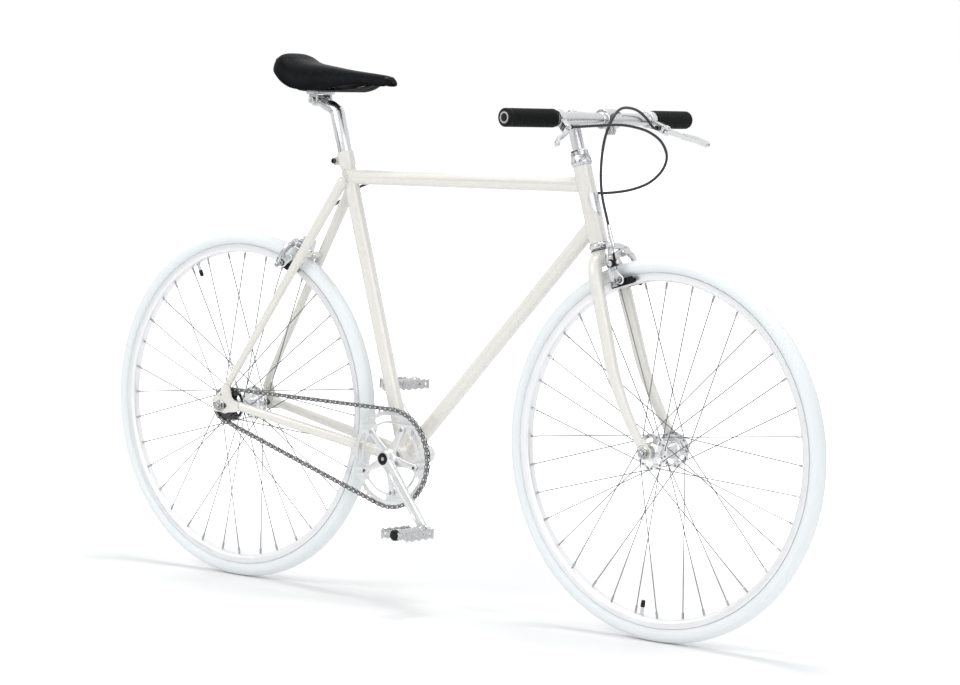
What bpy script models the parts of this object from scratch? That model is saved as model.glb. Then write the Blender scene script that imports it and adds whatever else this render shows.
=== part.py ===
"""Single-speed bicycle with horizontal top tube, side-pull brakes and swept-back flat bar.

Metres, +X forward, +Y to the rider's left, +Z up. The origin is on the ground, midway between the
axles. Plan points are given from the rear axle by bike(), and steering points by steer().
"""
import math

import bmesh
import bpy
from mathutils import Matrix, Vector

# Fits
GAP = 0.0003
RUNNING_FIT = 0.0004

# Wheels
WHEEL_RADIUS = 0.343
TYRE_SECTION = 0.032
RIM_LIP_RADIUS = 0.317
RIM_DEPTH = 0.016
RIM_WIDTH = 0.022
RIM_TAPER = 0.002
BRAKE_TRACK_DEPTH = 0.0103
WHEEL_SEGMENTS = 48
SPOKES_PER_SIDE = 18
SPOKE_CROSSES = 3
SPOKE_RADIUS = 0.001
SPOKE_RIM_OFFSET = 0.003
FLANGE_PITCH_RADIUS = 0.029
FLANGE_RADIUS = 0.0335
FLANGE_OFFSET = 0.032
FLANGE_THICKNESS = 0.003
FLANGE_WINDOWS = 5
HUB_SIDES = 12
HUB_BARREL_RADIUS = 0.0105
HUB_END_RADIUS = 0.0135
FRONT_HUB_WIDTH = 0.100
REAR_HUB_WIDTH = 0.120
FRONT_AXLE_RADIUS = 0.0045
REAR_AXLE_RADIUS = 0.005
FRONT_AXLE_END = 0.0705
REAR_AXLE_END = 0.079
DROPOUT_THICKNESS = 0.005
CONE_DEPTH = 0.010
FREEWHEEL_SEAT_END = 0.0535

# Drive
CHAIN_PITCH = 0.0127
CHAIN_LINKS = 100
CHAIN_HEIGHT = 0.0082
CHAIN_WIDTH = 0.008
CHAIN_SLOT = (0.0052, 0.0034)
CHAIN_LINE = 0.046
RING_TEETH = 46
SPROCKET_TEETH = 16
TOOTH_THICKNESS = 0.0024
TOOTH_WIDTH = 0.0042
TOOTH_RISE = 0.0022
RING_INNER_RADIUS = 0.0665
RING_BOLT_RADIUS = 0.065
RING_WINDOW_RADII = (0.0708, 0.0812)
RING_WINDOW_SPAN = 0.80
FREEWHEEL_RADIUS = 0.0235
FREEWHEEL_BORE_RADIUS = 0.0174
BB_DROP = 0.066
BB_SHELL_RADIUS = 0.020
BB_SHELL_WIDTH = 0.068
BB_CUP_RADIUS = 0.0185
BB_CUP_WIDTH = 0.004
SPINDLE_RADIUS = 0.0085
SPINDLE_END = 0.062
SPINDLE_SQUARE = 0.0126
CRANK_LENGTH = 0.170
CRANK_ANGLE = math.radians(-46.5)
CRANK_THICKNESS = 0.012
CRANK_BOSS_RADIUS = 0.0165
CRANK_EYE_RADIUS = 0.0125
CRANK_INNER_FACE = 0.0535
CRANK_EYE_FACE = 0.070
SPIDER_THICKNESS = 0.0045
PEDAL_AXLE_RADIUS = 0.0045
PEDAL_INNER_FACE = 0.087
PEDAL_WIDTH = 0.078
PEDAL_LENGTH = 0.064
PEDAL_HEIGHT = 0.020
PEDAL_WALL = 0.0025
PEDAL_BARREL_RADIUS = 0.011

# Frame
TUBE_RADIUS = 0.0143
TUBE_WALL = 0.0018
TUBE_SIDES = 16
SEAT_ANGLE = math.radians(73.3)
SEAT_TUBE_LENGTH = 0.597
TOP_TUBE_HEIGHT = 0.549
SEAT_COLLAR_RADIUS = 0.0164
SEAT_COLLAR_HEIGHT = 0.024
CHAIN_STAY_RADII = (0.0085, 0.0068)
CHAIN_STAY_TALLER = 1.33
CHAIN_STAY_SPREAD = (0.024, 0.0575)
SEAT_STAY_RADII = (0.0106, 0.0068)
SEAT_STAY_SPREAD = (0.016, 0.058)
SEAT_STAY_TOP = 0.541
TRACK_SLOT = (0.0165, 0.024)
BRIDGE_RADIUS = 0.0055
BRIDGE_FROM_AXLE = 0.3515

# Steering
WHEELBASE = 1.0312
HEAD_ANGLE = math.radians(72.9)
FORK_RAKE = 0.043
HEAD_TUBE_RADIUS = 0.017
HEAD_TUBE_BORE = 0.0151
HEAD_TUBE_LENGTH = 0.144
HEAD_TUBE_BOTTOM = 0.3914
TOP_TUBE_BELOW = 0.035
DOWN_TUBE_ABOVE = 0.037
CUP_RADIUS = 0.0197
LOWER_STACK = 0.015
UPPER_STACK = 0.030
UPPER_CUP_STACK = 0.019
LOCKNUT_COVER = 0.010
STEERER_RADIUS = 0.0127
CROWN_RADIUS = 0.0165
CROWN_BOTTOM = 0.3495
BRAKE_BOLT_HEIGHT = 0.3616
BLADE_RADII = (0.0130, 0.0117, 0.0075)
BLADE_SPREAD = (0.038, 0.050)
BLADE_OFFSET = 0.0053
BLADE_BEND_START = 0.165
QUILL_RADIUS = 0.0111
STEM_TOP = 0.6253
STEM_REACH = 0.0818
STEM_CLAMP_RADIUS = 0.018
STEM_CLAMP_WIDTH = 0.040
BAR_RADIUS = 0.0111
BAR_SLEEVE_RADIUS = 0.0127
BAR_SWEEP = math.radians(5.7)
BAR_BEND = 0.040
BAR_END = 0.2645
GRIP_RADIUS = 0.0165
GRIP_START = 0.146
GRIP_PLUG = 0.0035

# Brake levers
LEVER_CLAMP = 0.135
LEVER_CLAMP_WIDTH = 0.013
LEVER_PIVOT = (0.0133, 0.0365)
LEVER_LENGTH = 0.088
LEVER_REST_ANGLE = math.radians(31.4)
LEVER_DROP_ANGLE = math.radians(31.4)
LEVER_PIN_RADIUS = 0.0025
LEVER_HUB_RADIUS = 0.0065
LEVER_THICKNESS = 0.0076
LEVER_CHEEK = 0.0028

# Brake calipers
CALIPER_BOLT_RADIUS = 0.003
CALIPER_PLATE = 0.006
CALIPER_ARM_WIDTH = 0.011
CALIPER_SIDE_PIVOT = (0.022, 0.008)
FRONT_CALIPER_PLANE = 0.0365
REAR_CALIPER_PLANE = 0.0295
PAD_SIZE = (0.052, 0.008, 0.007)
PAD_LEAD = 0.008
PAD_CLEARANCE = 0.002
TOWER_RADIUS = 0.004
CABLE_RADIUS = 0.0025
INNER_CABLE_RADIUS = 0.0008
CABLE_STEP = 0.020

# Seat
POST_RADIUS = 0.0136
POST_INSERTION = 0.110
POST_LENGTH_OUT = 0.092
SADDLE_LENGTH = 0.275
SADDLE_WIDTH = 0.155
SADDLE_TAIL = 0.104
RAIL_RADIUS = 0.0035
RAIL_SPREAD = 0.022
RAIL_HEIGHT = 0.9675
SADDLE_NOSE_WIDTH = 0.040
SADDLE_THICKNESS = 0.007
SADDLE_RAIL_NOSE = (0.8902, 0.1125, 0.9766)
SADDLE_RAIL_TAIL = (0.1164, 0.162)
RAIL_SEAT_DROP = 0.0027
CLAMP_HEIGHT = 0.018
CRADLE_DROP = 0.0205
CRADLE_RADIUS = 0.0105
CRADLE_HALF = 0.016

PARTS = "single_speed_bicycle"
ORIGIN = Vector((0, 0, 0))
ACROSS = Vector((0, 1, 0))
UP = Vector((0, 0, 1))
LEFT, RIGHT = 1, -1


def clear_scene():
    for old in list(bpy.data.objects):
        bpy.data.objects.remove(old, do_unlink=True)


def collection(name):
    made = bpy.data.collections.get(name) or bpy.data.collections.new(name)
    if made.name not in bpy.context.scene.collection.children:
        bpy.context.scene.collection.children.link(made)
    return made


def material(name, colour, roughness, metallic=0.0):
    made = bpy.data.materials.new(name)
    made.use_nodes = True
    shader = made.node_tree.nodes["Principled BSDF"]
    shader.inputs["Base Color"].default_value = (*colour, 1.0)
    shader.inputs["Roughness"].default_value = roughness
    shader.inputs["Metallic"].default_value = metallic
    made.diffuse_color = (*colour, 1.0)
    return made


def bike(x, y, z):
    """A point given from the rear axle along the ground, from the middle plane and from the ground."""
    return Vector((x - WHEELBASE / 2, y, z))


def along(angle):
    """The unit vector in the middle plane at an angle above forward."""
    return Vector((math.cos(angle), 0, math.sin(angle)))


REAR_AXLE = bike(0, 0, WHEEL_RADIUS)
FRONT_AXLE = bike(WHEELBASE, 0, WHEEL_RADIUS)
STEER_UP = along(math.pi - HEAD_ANGLE)
STEER_FORWARD = along(math.pi / 2 - HEAD_ANGLE)
STEER_FOOT = FRONT_AXLE - STEER_FORWARD * FORK_RAKE
SEAT_UP = along(math.pi - SEAT_ANGLE)
SEAT_FORWARD = along(math.pi / 2 - SEAT_ANGLE)
HEAD_TOP = HEAD_TUBE_BOTTOM + HEAD_TUBE_LENGTH
CROWN_RACE = HEAD_TUBE_BOTTOM - LOWER_STACK
LOCKNUT_TOP = HEAD_TOP + UPPER_STACK
STEERER_TOP = LOCKNUT_TOP - LOCKNUT_COVER
RIM_INNER_RADIUS = RIM_LIP_RADIUS - RIM_DEPTH
BRAKE_TRACK_RADIUS = RIM_LIP_RADIUS - BRAKE_TRACK_DEPTH
TYRE_TUBE = TYRE_SECTION / 2


def steer(forward, y, height):
    """A point given from the steering axis, the middle plane and the foot of the fork's rake."""
    return STEER_FOOT + STEER_FORWARD * forward + ACROSS * y + STEER_UP * height


def pitch_radius(teeth):
    return teeth * CHAIN_PITCH / (2 * math.pi)


def chain_length(centres):
    big, small = pitch_radius(RING_TEETH), pitch_radius(SPROCKET_TEETH)
    lean = math.asin((big - small) / centres)
    straight = 2 * math.sqrt(centres ** 2 - (big - small) ** 2)
    return straight + big * (math.pi + 2 * lean) + small * (math.pi - 2 * lean)


def chain_centres():
    """The distance between axle and crank that the chain's links fit."""
    low, high = 0.3, 0.6
    for _ in range(60):
        middle = (low + high) / 2
        if chain_length(middle) < CHAIN_LINKS * CHAIN_PITCH:
            low = middle
        else:
            high = middle
    return (low + high) / 2


CHAIN_STAY_LENGTH = chain_centres()
CRANK_AXLE = REAR_AXLE + Vector((math.sqrt(CHAIN_STAY_LENGTH ** 2 - BB_DROP ** 2), 0, -BB_DROP))


def clear_bore(radius, clearance, sides=TUBE_SIDES):
    """The corner radius of a faceted bore that clears a round of this radius at any turn."""
    return (radius + clearance) / math.cos(math.pi / sides)


def pose(origin, up, forward=None):
    """A matrix at origin with local Z along up, and local X near forward."""
    z = up.normalized()
    guess = forward or (Vector((1, 0, 0)) if abs(z.x) < 0.9 else ACROSS)
    x = (guess - z * guess.dot(z)).normalized()
    y = z.cross(x)
    return Matrix.Translation(origin) @ Matrix((x, y, z)).transposed().to_4x4()


# Making shapes. Each returns an object in the work collection, turned into a mesh.

def bake(ob):
    """The object with its modifiers applied, as a plain mesh that keeps its place."""
    bpy.context.view_layer.update()
    evaluated = ob.evaluated_get(bpy.context.evaluated_depsgraph_get())
    mesh = bpy.data.meshes.new_from_object(evaluated)
    weld = bmesh.new()
    weld.from_mesh(mesh)
    bmesh.ops.remove_doubles(weld, verts=weld.verts, dist=1e-6)
    weld.to_mesh(mesh)
    weld.free()
    made = bpy.data.objects.new("shape", mesh)
    made.matrix_world = ob.matrix_world.copy()
    collection("work").objects.link(made)
    bpy.data.objects.remove(ob, do_unlink=True)
    bpy.context.view_layer.update()
    return made


def from_bmesh(bm, matrix=None):
    mesh = bpy.data.meshes.new("shape")
    bm.to_mesh(mesh)
    bm.free()
    made = bpy.data.objects.new("shape", mesh)
    made.matrix_world = matrix or Matrix.Identity(4)
    collection("work").objects.link(made)
    bpy.context.view_layer.update()
    return made


def rod(start, end, radius, end_radius=None, sides=TUBE_SIDES, forward=None, turn=0.0):
    """A straight round rod, tapered where an end radius is given."""
    bm = bmesh.new()
    length = (end - start).length
    bmesh.ops.create_cone(bm, cap_ends=True, segments=sides, radius1=radius,
                          radius2=radius if end_radius is None else end_radius, depth=length)
    bmesh.ops.rotate(bm, verts=bm.verts, matrix=Matrix.Rotation(turn, 3, "Z"))
    return from_bmesh(bm, pose((start + end) / 2, end - start, forward))


def taller(shape, factor):
    """A rod made higher than it is wide."""
    over = UP.cross(shape.matrix_world.to_3x3().transposed() @ ACROSS).normalized()
    for vert in shape.data.vertices:
        vert.co += over * (vert.co.dot(over) * (factor - 1))
    return shape


def block(size, matrix, taper=(1.0, 1.0)):
    """A box centred on the matrix, its top face scaled by the taper."""
    bm = bmesh.new()
    bmesh.ops.create_cube(bm, size=1.0)
    for vert in bm.verts:
        scale = taper if vert.co.z > 0 else (1.0, 1.0)
        vert.co = Vector((vert.co.x * size[0] * scale[0], vert.co.y * size[1] * scale[1],
                          vert.co.z * size[2]))
    return from_bmesh(bm, matrix)


def ball(centre, radius, segments=12, rings=8):
    bm = bmesh.new()
    bmesh.ops.create_uvsphere(bm, u_segments=segments, v_segments=rings, radius=radius)
    return from_bmesh(bm, Matrix.Translation(centre))


def turned(profile, matrix, sides=TUBE_SIDES, closed=False):
    """A profile of (radius, height) down its outer side, turned about the matrix's Z axis."""
    mesh = bpy.data.meshes.new("profile")
    points = [(radius, 0, height) for radius, height in profile]
    edges = [(i, i + 1) for i in range(len(points) - 1)]
    if closed:
        edges.append((len(points) - 1, 0))
    mesh.from_pydata(points, edges, [])
    made = bpy.data.objects.new("profile", mesh)
    made.matrix_world = matrix
    collection("work").objects.link(made)
    screw = made.modifiers.new("turn", "SCREW")
    screw.axis = "Z"
    screw.angle = 2 * math.pi
    screw.steps = screw.render_steps = sides
    screw.use_merge_vertices = True
    screw.merge_threshold = 0.00001
    return bake(made)


def bent_tube(points, radii, resolution=6, cyclic=False):
    """A round tube along points, its radius given at each point or once for all."""
    widest = max(radii) if isinstance(radii, (list, tuple)) else radii
    data = bpy.data.curves.new("path", "CURVE")
    data.dimensions = "3D"
    data.bevel_depth = widest
    data.bevel_resolution = resolution
    data.use_fill_caps = not cyclic
    spline = data.splines.new("POLY")
    spline.points.add(len(points) - 1)
    spline.use_cyclic_u = cyclic
    for i, (point, place) in enumerate(zip(spline.points, points)):
        point.co = (*place, 1)
        point.radius = radii[i] / widest if isinstance(radii, (list, tuple)) else 1.0
    made = bpy.data.objects.new("path", data)
    collection("work").objects.link(made)
    return bake(made)


def plate(outlines, thickness, matrix):
    """Flat closed outlines, holes included, made solid by half the thickness each way."""
    data = bpy.data.curves.new("outline", "CURVE")
    data.dimensions = "2D"
    data.fill_mode = "BOTH"
    data.extrude = thickness / 2
    for outline in outlines:
        spline = data.splines.new("POLY")
        spline.points.add(len(outline) - 1)
        spline.use_cyclic_u = True
        for point, (x, y) in zip(spline.points, outline):
            point.co = (x, y, 0, 1)
    made = bpy.data.objects.new("outline", data)
    made.matrix_world = matrix
    collection("work").objects.link(made)
    return bake(made)


def circle(radius, sides, centre=(0, 0), start=0.0):
    return [(centre[0] + radius * math.cos(start + 2 * math.pi * i / sides),
             centre[1] + radius * math.sin(start + 2 * math.pi * i / sides)) for i in range(sides)]


def ribbon(points, widths, ends=4):
    """The outline of a bar with round ends that follows flat points, each with its own width."""
    path = [Vector(p) for p in points]
    left, right = [], []
    for i, point in enumerate(path):
        before = path[max(i - 1, 0)]
        after = path[min(i + 1, len(path) - 1)]
        heading = (after - before).normalized()
        side = Vector((-heading.y, heading.x)) * widths[i] / 2
        left.append(point + side)
        right.append(point - side)
    first = math.atan2(*(right[0] - path[0]).yx)
    last = math.atan2(*(left[-1] - path[-1]).yx)
    start_cap = [path[0] + Vector((math.cos(first - math.pi * k / ends),
                                   math.sin(first - math.pi * k / ends))) * widths[0] / 2
                 for k in range(1, ends)]
    end_cap = [path[-1] + Vector((math.cos(last - math.pi * k / ends),
                                  math.sin(last - math.pi * k / ends))) * widths[-1] / 2
               for k in range(1, ends)]
    return [tuple(p) for p in start_cap + left + end_cap + right[::-1]]


def combine(base, tool, operation):
    """The base joined with or cut by the tool, which is used up."""
    modifier = base.modifiers.new("combine", "BOOLEAN")
    modifier.operation = operation
    modifier.object = tool
    modifier.solver = "EXACT"
    made = bake(base)
    bpy.data.objects.remove(tool, do_unlink=True)
    return made


def joined(shapes):
    made = shapes[0]
    for shape in shapes[1:]:
        made = combine(made, shape, "UNION")
    return made


def cut(base, *tools):
    for tool in tools:
        base = combine(base, tool, "DIFFERENCE")
    return base


def gathered(shapes):
    """Separate shapes as one mesh, to cut or join in a single step."""
    bm = bmesh.new()
    for shape in shapes:
        part = bmesh.new()
        part.from_mesh(shape.data)
        bmesh.ops.transform(part, matrix=shape.matrix_world, verts=part.verts)
        mesh = bpy.data.meshes.new("part")
        part.to_mesh(mesh)
        part.free()
        bm.from_mesh(mesh)
        bpy.data.meshes.remove(mesh)
        bpy.data.objects.remove(shape, do_unlink=True)
    return from_bmesh(bm)


def holder(name, place, up=UP, forward=None):
    """An empty on a joint's axis, which carries the pieces that move together."""
    made = bpy.data.objects.new(name, None)
    made.empty_display_size = 0.05
    made.matrix_world = pose(place, up, forward)
    collection(PARTS).objects.link(made)
    bpy.context.view_layer.update()
    return made


def node(name, shape, look, parent, smooth=35):
    """The finished piece: named, shaded, given its material and hung on its parent."""
    shape.name = name
    shape.data.name = name
    shape.data.materials.clear()
    shape.data.materials.append(look)
    shape.data.shade_smooth()
    shape.data.set_sharp_from_angle(angle=math.radians(smooth))
    collection("work").objects.unlink(shape)
    collection(PARTS).objects.link(shape)
    world = shape.matrix_world.copy()
    turned_mesh = parent.matrix_world.inverted() @ world
    shape.parent = parent
    shape.matrix_parent_inverse = Matrix.Identity(4)
    shape.matrix_local = turned_mesh
    bpy.context.view_layer.update()
    return shape


def smooth_path(points, spacing):
    """Points along a smooth curve through the route's points."""
    route = [Vector(p) for p in points]
    ends = [route[0] * 2 - route[1]] + route + [route[-1] * 2 - route[-2]]
    path = []
    for a, b, c, d in zip(ends, ends[1:], ends[2:], ends[3:]):
        steps = max(1, round((c - b).length / spacing))
        for k in range(steps):
            t = k / steps
            path.append(b + (c - a) * (t / 2) + (a * 2 - b * 5 + c * 4 - d) * (t * t / 2)
                        + (b * 3 - a - c * 3 + d) * (t ** 3 / 2))
    return path + [route[-1]]


# Frame

def tube_cutter(start, end, radius):
    """What a tube's neighbour is mitred with: its own outside and the gap."""
    reach = (end - start).normalized() * 0.03
    return rod(start - reach, end + reach, clear_bore(radius, GAP))


SEAT_TOP = CRANK_AXLE + SEAT_UP * SEAT_TUBE_LENGTH
TOP_TUBE_REAR = CRANK_AXLE + SEAT_UP * TOP_TUBE_HEIGHT
TOP_TUBE_FRONT = steer(0, 0, HEAD_TOP - TOP_TUBE_BELOW)
DOWN_TUBE_FRONT = steer(0, 0, HEAD_TUBE_BOTTOM + DOWN_TUBE_ABOVE)
POST_BORE_RADIUS = POST_RADIUS + GAP / math.cos(math.pi / TUBE_SIDES)
BB_SPAN = (CRANK_AXLE - ACROSS * BB_SHELL_WIDTH / 2, CRANK_AXLE + ACROSS * BB_SHELL_WIDTH / 2)


def pipe(start, end, radius, bore):
    """A round tube open at both ends."""
    length = (end - start).length
    return turned([(radius, length), (radius, 0), (bore, 0), (bore, length)],
                  pose(start, end - start), closed=True)


def head_tube(look, frame):
    bottom = steer(0, 0, HEAD_TUBE_BOTTOM)
    shape = pipe(bottom, steer(0, 0, HEAD_TOP), HEAD_TUBE_RADIUS, HEAD_TUBE_BORE)
    node("head_tube", shape, look, frame)


def headset_cup(name, face, side, look, frame):
    """A cup pressed into the head tube's end: a skirt inside and a flared body outside."""
    stack = LOWER_STACK if side < 0 else UPPER_CUP_STACK
    bore = clear_bore(STEERER_RADIUS, RUNNING_FIT)
    skirt = HEAD_TUBE_BORE - GAP / math.cos(math.pi / TUBE_SIDES)
    body = stack - (0.0045 if side < 0 else GAP)
    profile = [(CUP_RADIUS - 0.002, body), (CUP_RADIUS, 0.005),
               (HEAD_TUBE_RADIUS, GAP), (skirt, GAP), (skirt, -0.010), (bore, -0.010), (bore, body)]
    shape = turned(profile, pose(steer(0, 0, face), STEER_UP * side), closed=True)
    node(name, shape, look, frame)


def seat_tube(look, frame):
    length = SEAT_TUBE_LENGTH
    blind = length - POST_INSERTION - 0.150
    lower = TUBE_RADIUS - TUBE_WALL
    collar = length - SEAT_COLLAR_HEIGHT
    shape = turned([(SEAT_COLLAR_RADIUS, length), (SEAT_COLLAR_RADIUS, collar),
                    (TUBE_RADIUS, collar - 0.006), (TUBE_RADIUS, 0), (lower, 0), (lower, blind),
                    (POST_BORE_RADIUS, blind), (POST_BORE_RADIUS, length)],
                   pose(CRANK_AXLE, SEAT_UP), closed=True)
    ear = SEAT_TOP - SEAT_UP * 0.0115 - SEAT_FORWARD * (SEAT_COLLAR_RADIUS + 0.0045)
    lug = block((0.013, 0.018, 0.015), pose(ear, SEAT_UP, SEAT_FORWARD))
    bolt = rod(ear + ACROSS * -0.0125, ear + ACROSS * 0.0125, 0.0042, sides=10)
    shape = joined([shape, cut(lug, rod(SEAT_TOP - SEAT_UP * 0.03, SEAT_TOP + SEAT_UP * 0.01,
                                        SEAT_COLLAR_RADIUS - 0.0015)), bolt])
    node("seat_tube", cut(shape, tube_cutter(*BB_SPAN, BB_SHELL_RADIUS)), look, frame)


def top_and_down_tubes(look, frame):
    bore = TUBE_RADIUS - TUBE_WALL
    head = (steer(0, 0, HEAD_TUBE_BOTTOM), steer(0, 0, HEAD_TOP), HEAD_TUBE_RADIUS)
    seat = (CRANK_AXLE, TOP_TUBE_REAR, TUBE_RADIUS)
    top = cut(pipe(TOP_TUBE_REAR, TOP_TUBE_FRONT, TUBE_RADIUS, bore),
              tube_cutter(*head), tube_cutter(*seat))
    node("top_tube", top, look, frame)
    down = cut(pipe(CRANK_AXLE, DOWN_TUBE_FRONT, TUBE_RADIUS, bore),
               tube_cutter(*head), tube_cutter(*seat), tube_cutter(*BB_SPAN, BB_SHELL_RADIUS))
    node("down_tube", down, look, frame)


def bottom_bracket_shell(look, frame):
    bore = clear_bore(SPINDLE_RADIUS, RUNNING_FIT)
    half = BB_SHELL_WIDTH / 2
    end = half + BB_CUP_WIDTH
    shape = turned([(BB_CUP_RADIUS, end), (BB_CUP_RADIUS, half), (BB_SHELL_RADIUS, half),
                    (BB_SHELL_RADIUS, -half), (BB_CUP_RADIUS, -half), (BB_CUP_RADIUS, -end),
                    (bore, -end), (bore, end)], pose(CRANK_AXLE, ACROSS, UP), closed=True)
    node("bottom_bracket_shell", shape, look, frame)


def track_end_centre(side):
    return REAR_AXLE + ACROSS * side * (REAR_HUB_WIDTH + DROPOUT_THICKNESS + GAP) / 2


def track_end(side):
    """The plate that carries the rear axle, its slot open to the rear."""
    half_slot = REAR_AXLE_RADIUS + GAP
    front, rear = TRACK_SLOT
    outline = [(0.047, -0.008), (0.047, 0.0085), (0.034, 0.0125), (0.0275, 0.017), (0.0245, 0.0245),
               (0.0215, 0.034), (0.017, 0.042), (0.004, 0.042), (-0.001, 0.0285), (-0.0095, 0.0215),
               (-0.0185, 0.0165), (-rear, 0.0115), (-rear, half_slot), (front - 0.004, half_slot),
               (front, half_slot - 0.004), (front, 0.004 - half_slot), (front - 0.004, -half_slot),
               (-rear, -half_slot), (0.004 - rear, -0.0115), (-0.008, -0.0128), (0.012, -0.0128),
               (0.0355, -0.0108)]
    eyelet = circle(0.0026, 8, (0.0005, 0.0215))
    return plate([outline, eyelet], DROPOUT_THICKNESS,
                 Matrix.Translation(track_end_centre(side)) @ Matrix.Rotation(math.pi / 2, 4, "X"))


def stay_ends(side):
    """The seat stay's top and bottom centres."""
    top = CRANK_AXLE + SEAT_UP * SEAT_STAY_TOP - SEAT_FORWARD * 0.0075
    return (top + ACROSS * side * SEAT_STAY_SPREAD[0],
            REAR_AXLE + Vector((0.005, side * SEAT_STAY_SPREAD[1], 0.031)))


def stays(side, name, look, frame):
    shell = tube_cutter(*BB_SPAN, BB_SHELL_RADIUS)
    front = CRANK_AXLE + ACROSS * side * CHAIN_STAY_SPREAD[0]
    rear = REAR_AXLE + Vector((0.030, side * CHAIN_STAY_SPREAD[1], 0.0035))
    chain_stay = taller(rod(rear, front, CHAIN_STAY_RADII[1], CHAIN_STAY_RADII[0], sides=12),
                        CHAIN_STAY_TALLER)
    shape = joined([cut(chain_stay, shell), track_end(side)])
    node("chain_stay_" + name, shape, look, frame)
    top, bottom = stay_ends(side)
    seat_stay = rod(bottom, top, SEAT_STAY_RADII[1], SEAT_STAY_RADII[0], sides=12)
    wrap = block((0.09, DROPOUT_THICKNESS + 2 * GAP, 0.075),
                 Matrix.Translation(track_end_centre(side) + UP * 0.012))
    seat_stay = cut(seat_stay, wrap, tube_cutter(CRANK_AXLE, SEAT_TOP - SEAT_UP * 0.03, TUBE_RADIUS))
    node("seat_stay_" + name, seat_stay, look, frame)


def bridge_seat():
    """The bridge's middle, at its distance from the axle, and the stays' middle line beside it."""
    top, bottom = stay_ends(LEFT)
    line = top - bottom
    start = bottom - REAR_AXLE
    flat_line, flat_start = Vector((line.x, line.z)), Vector((start.x, start.z))
    a, b = flat_line.dot(flat_line), 2 * flat_start.dot(flat_line)
    c = flat_start.dot(flat_start) - BRIDGE_FROM_AXLE ** 2
    share = (-b + math.sqrt(b * b - 4 * a * c)) / (2 * a)
    seat = bottom + line * share
    return Vector((seat.x, 0, seat.z)), seat.y


def brake_bridge(look, frame):
    centre, half = bridge_seat()
    shape = rod(centre - ACROSS * half, centre + ACROSS * half, BRIDGE_RADIUS, sides=12)
    for side in (LEFT, RIGHT):
        top, bottom = stay_ends(side)
        shape = cut(shape, rod(bottom, top, clear_bore(SEAT_STAY_RADII[1], GAP, 12),
                               clear_bore(SEAT_STAY_RADII[0], GAP, 12), sides=12))
    node("brake_bridge", shape, look, frame)


# Wheels

def tyre(name, hub, look, parent):
    centre = WHEEL_RADIUS - TYRE_TUBE
    bead = RIM_LIP_RADIUS + GAP / math.cos(math.pi / WHEEL_SEGMENTS)
    angles = [math.radians(a) for a in (92, 46, 0, -46, -92)]
    profile = [(centre + TYRE_TUBE * math.cos(a), TYRE_TUBE * math.sin(a)) for a in angles]
    profile = [(bead, RIM_WIDTH / 2 - 0.001)] + profile + [(bead, 0.001 - RIM_WIDTH / 2)]
    shape = turned(profile, pose(hub, ACROSS, UP), sides=WHEEL_SEGMENTS, closed=True)
    node(name, shape, look, parent, smooth=50)


def rim(name, hub, look, parent):
    half = RIM_WIDTH / 2
    profile = [(RIM_LIP_RADIUS, half), (RIM_LIP_RADIUS, -half),
               (RIM_INNER_RADIUS, RIM_TAPER - half), (RIM_INNER_RADIUS, half - RIM_TAPER)]
    shape = turned(profile, pose(hub, ACROSS, UP), sides=WHEEL_SEGMENTS, closed=True)
    node(name, shape, look, parent)


def spokes(name, hub, side, look, parent):
    """One side's spokes, crossing each other and touching where they cross."""
    step = 2 * math.pi / SPOKES_PER_SIDE
    swing = SPOKE_CROSSES * step
    inner = FLANGE_OFFSET + FLANGE_THICKNESS / 2 + GAP + 2 * SPOKE_RADIUS
    outer = RIM_INNER_RADIUS * math.cos(math.pi / WHEEL_SEGMENTS) - GAP - 0.0002
    phase = step / 2 if side == RIGHT else 0.0
    families = []
    for lean in (1, -1):
        family = []
        lift = SPOKE_RADIUS * (0.0 if lean > 0 else 0.7)
        for k in range(0, SPOKES_PER_SIDE, 2):
            start = phase + k * step + (0 if lean > 0 else step)
            a = Vector((math.cos(start) * FLANGE_PITCH_RADIUS, side * (inner + lift),
                        math.sin(start) * FLANGE_PITCH_RADIUS))
            stop = start + lean * swing
            b = Vector((math.cos(stop) * outer, side * (SPOKE_RIM_OFFSET + lift),
                        math.sin(stop) * outer))
            family.append(rod(hub + a, hub + b, SPOKE_RADIUS, sides=3, forward=ACROSS))
        families.append(gathered(family))
    node(name, combine(families[0], families[1], "UNION"), look, parent)


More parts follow.
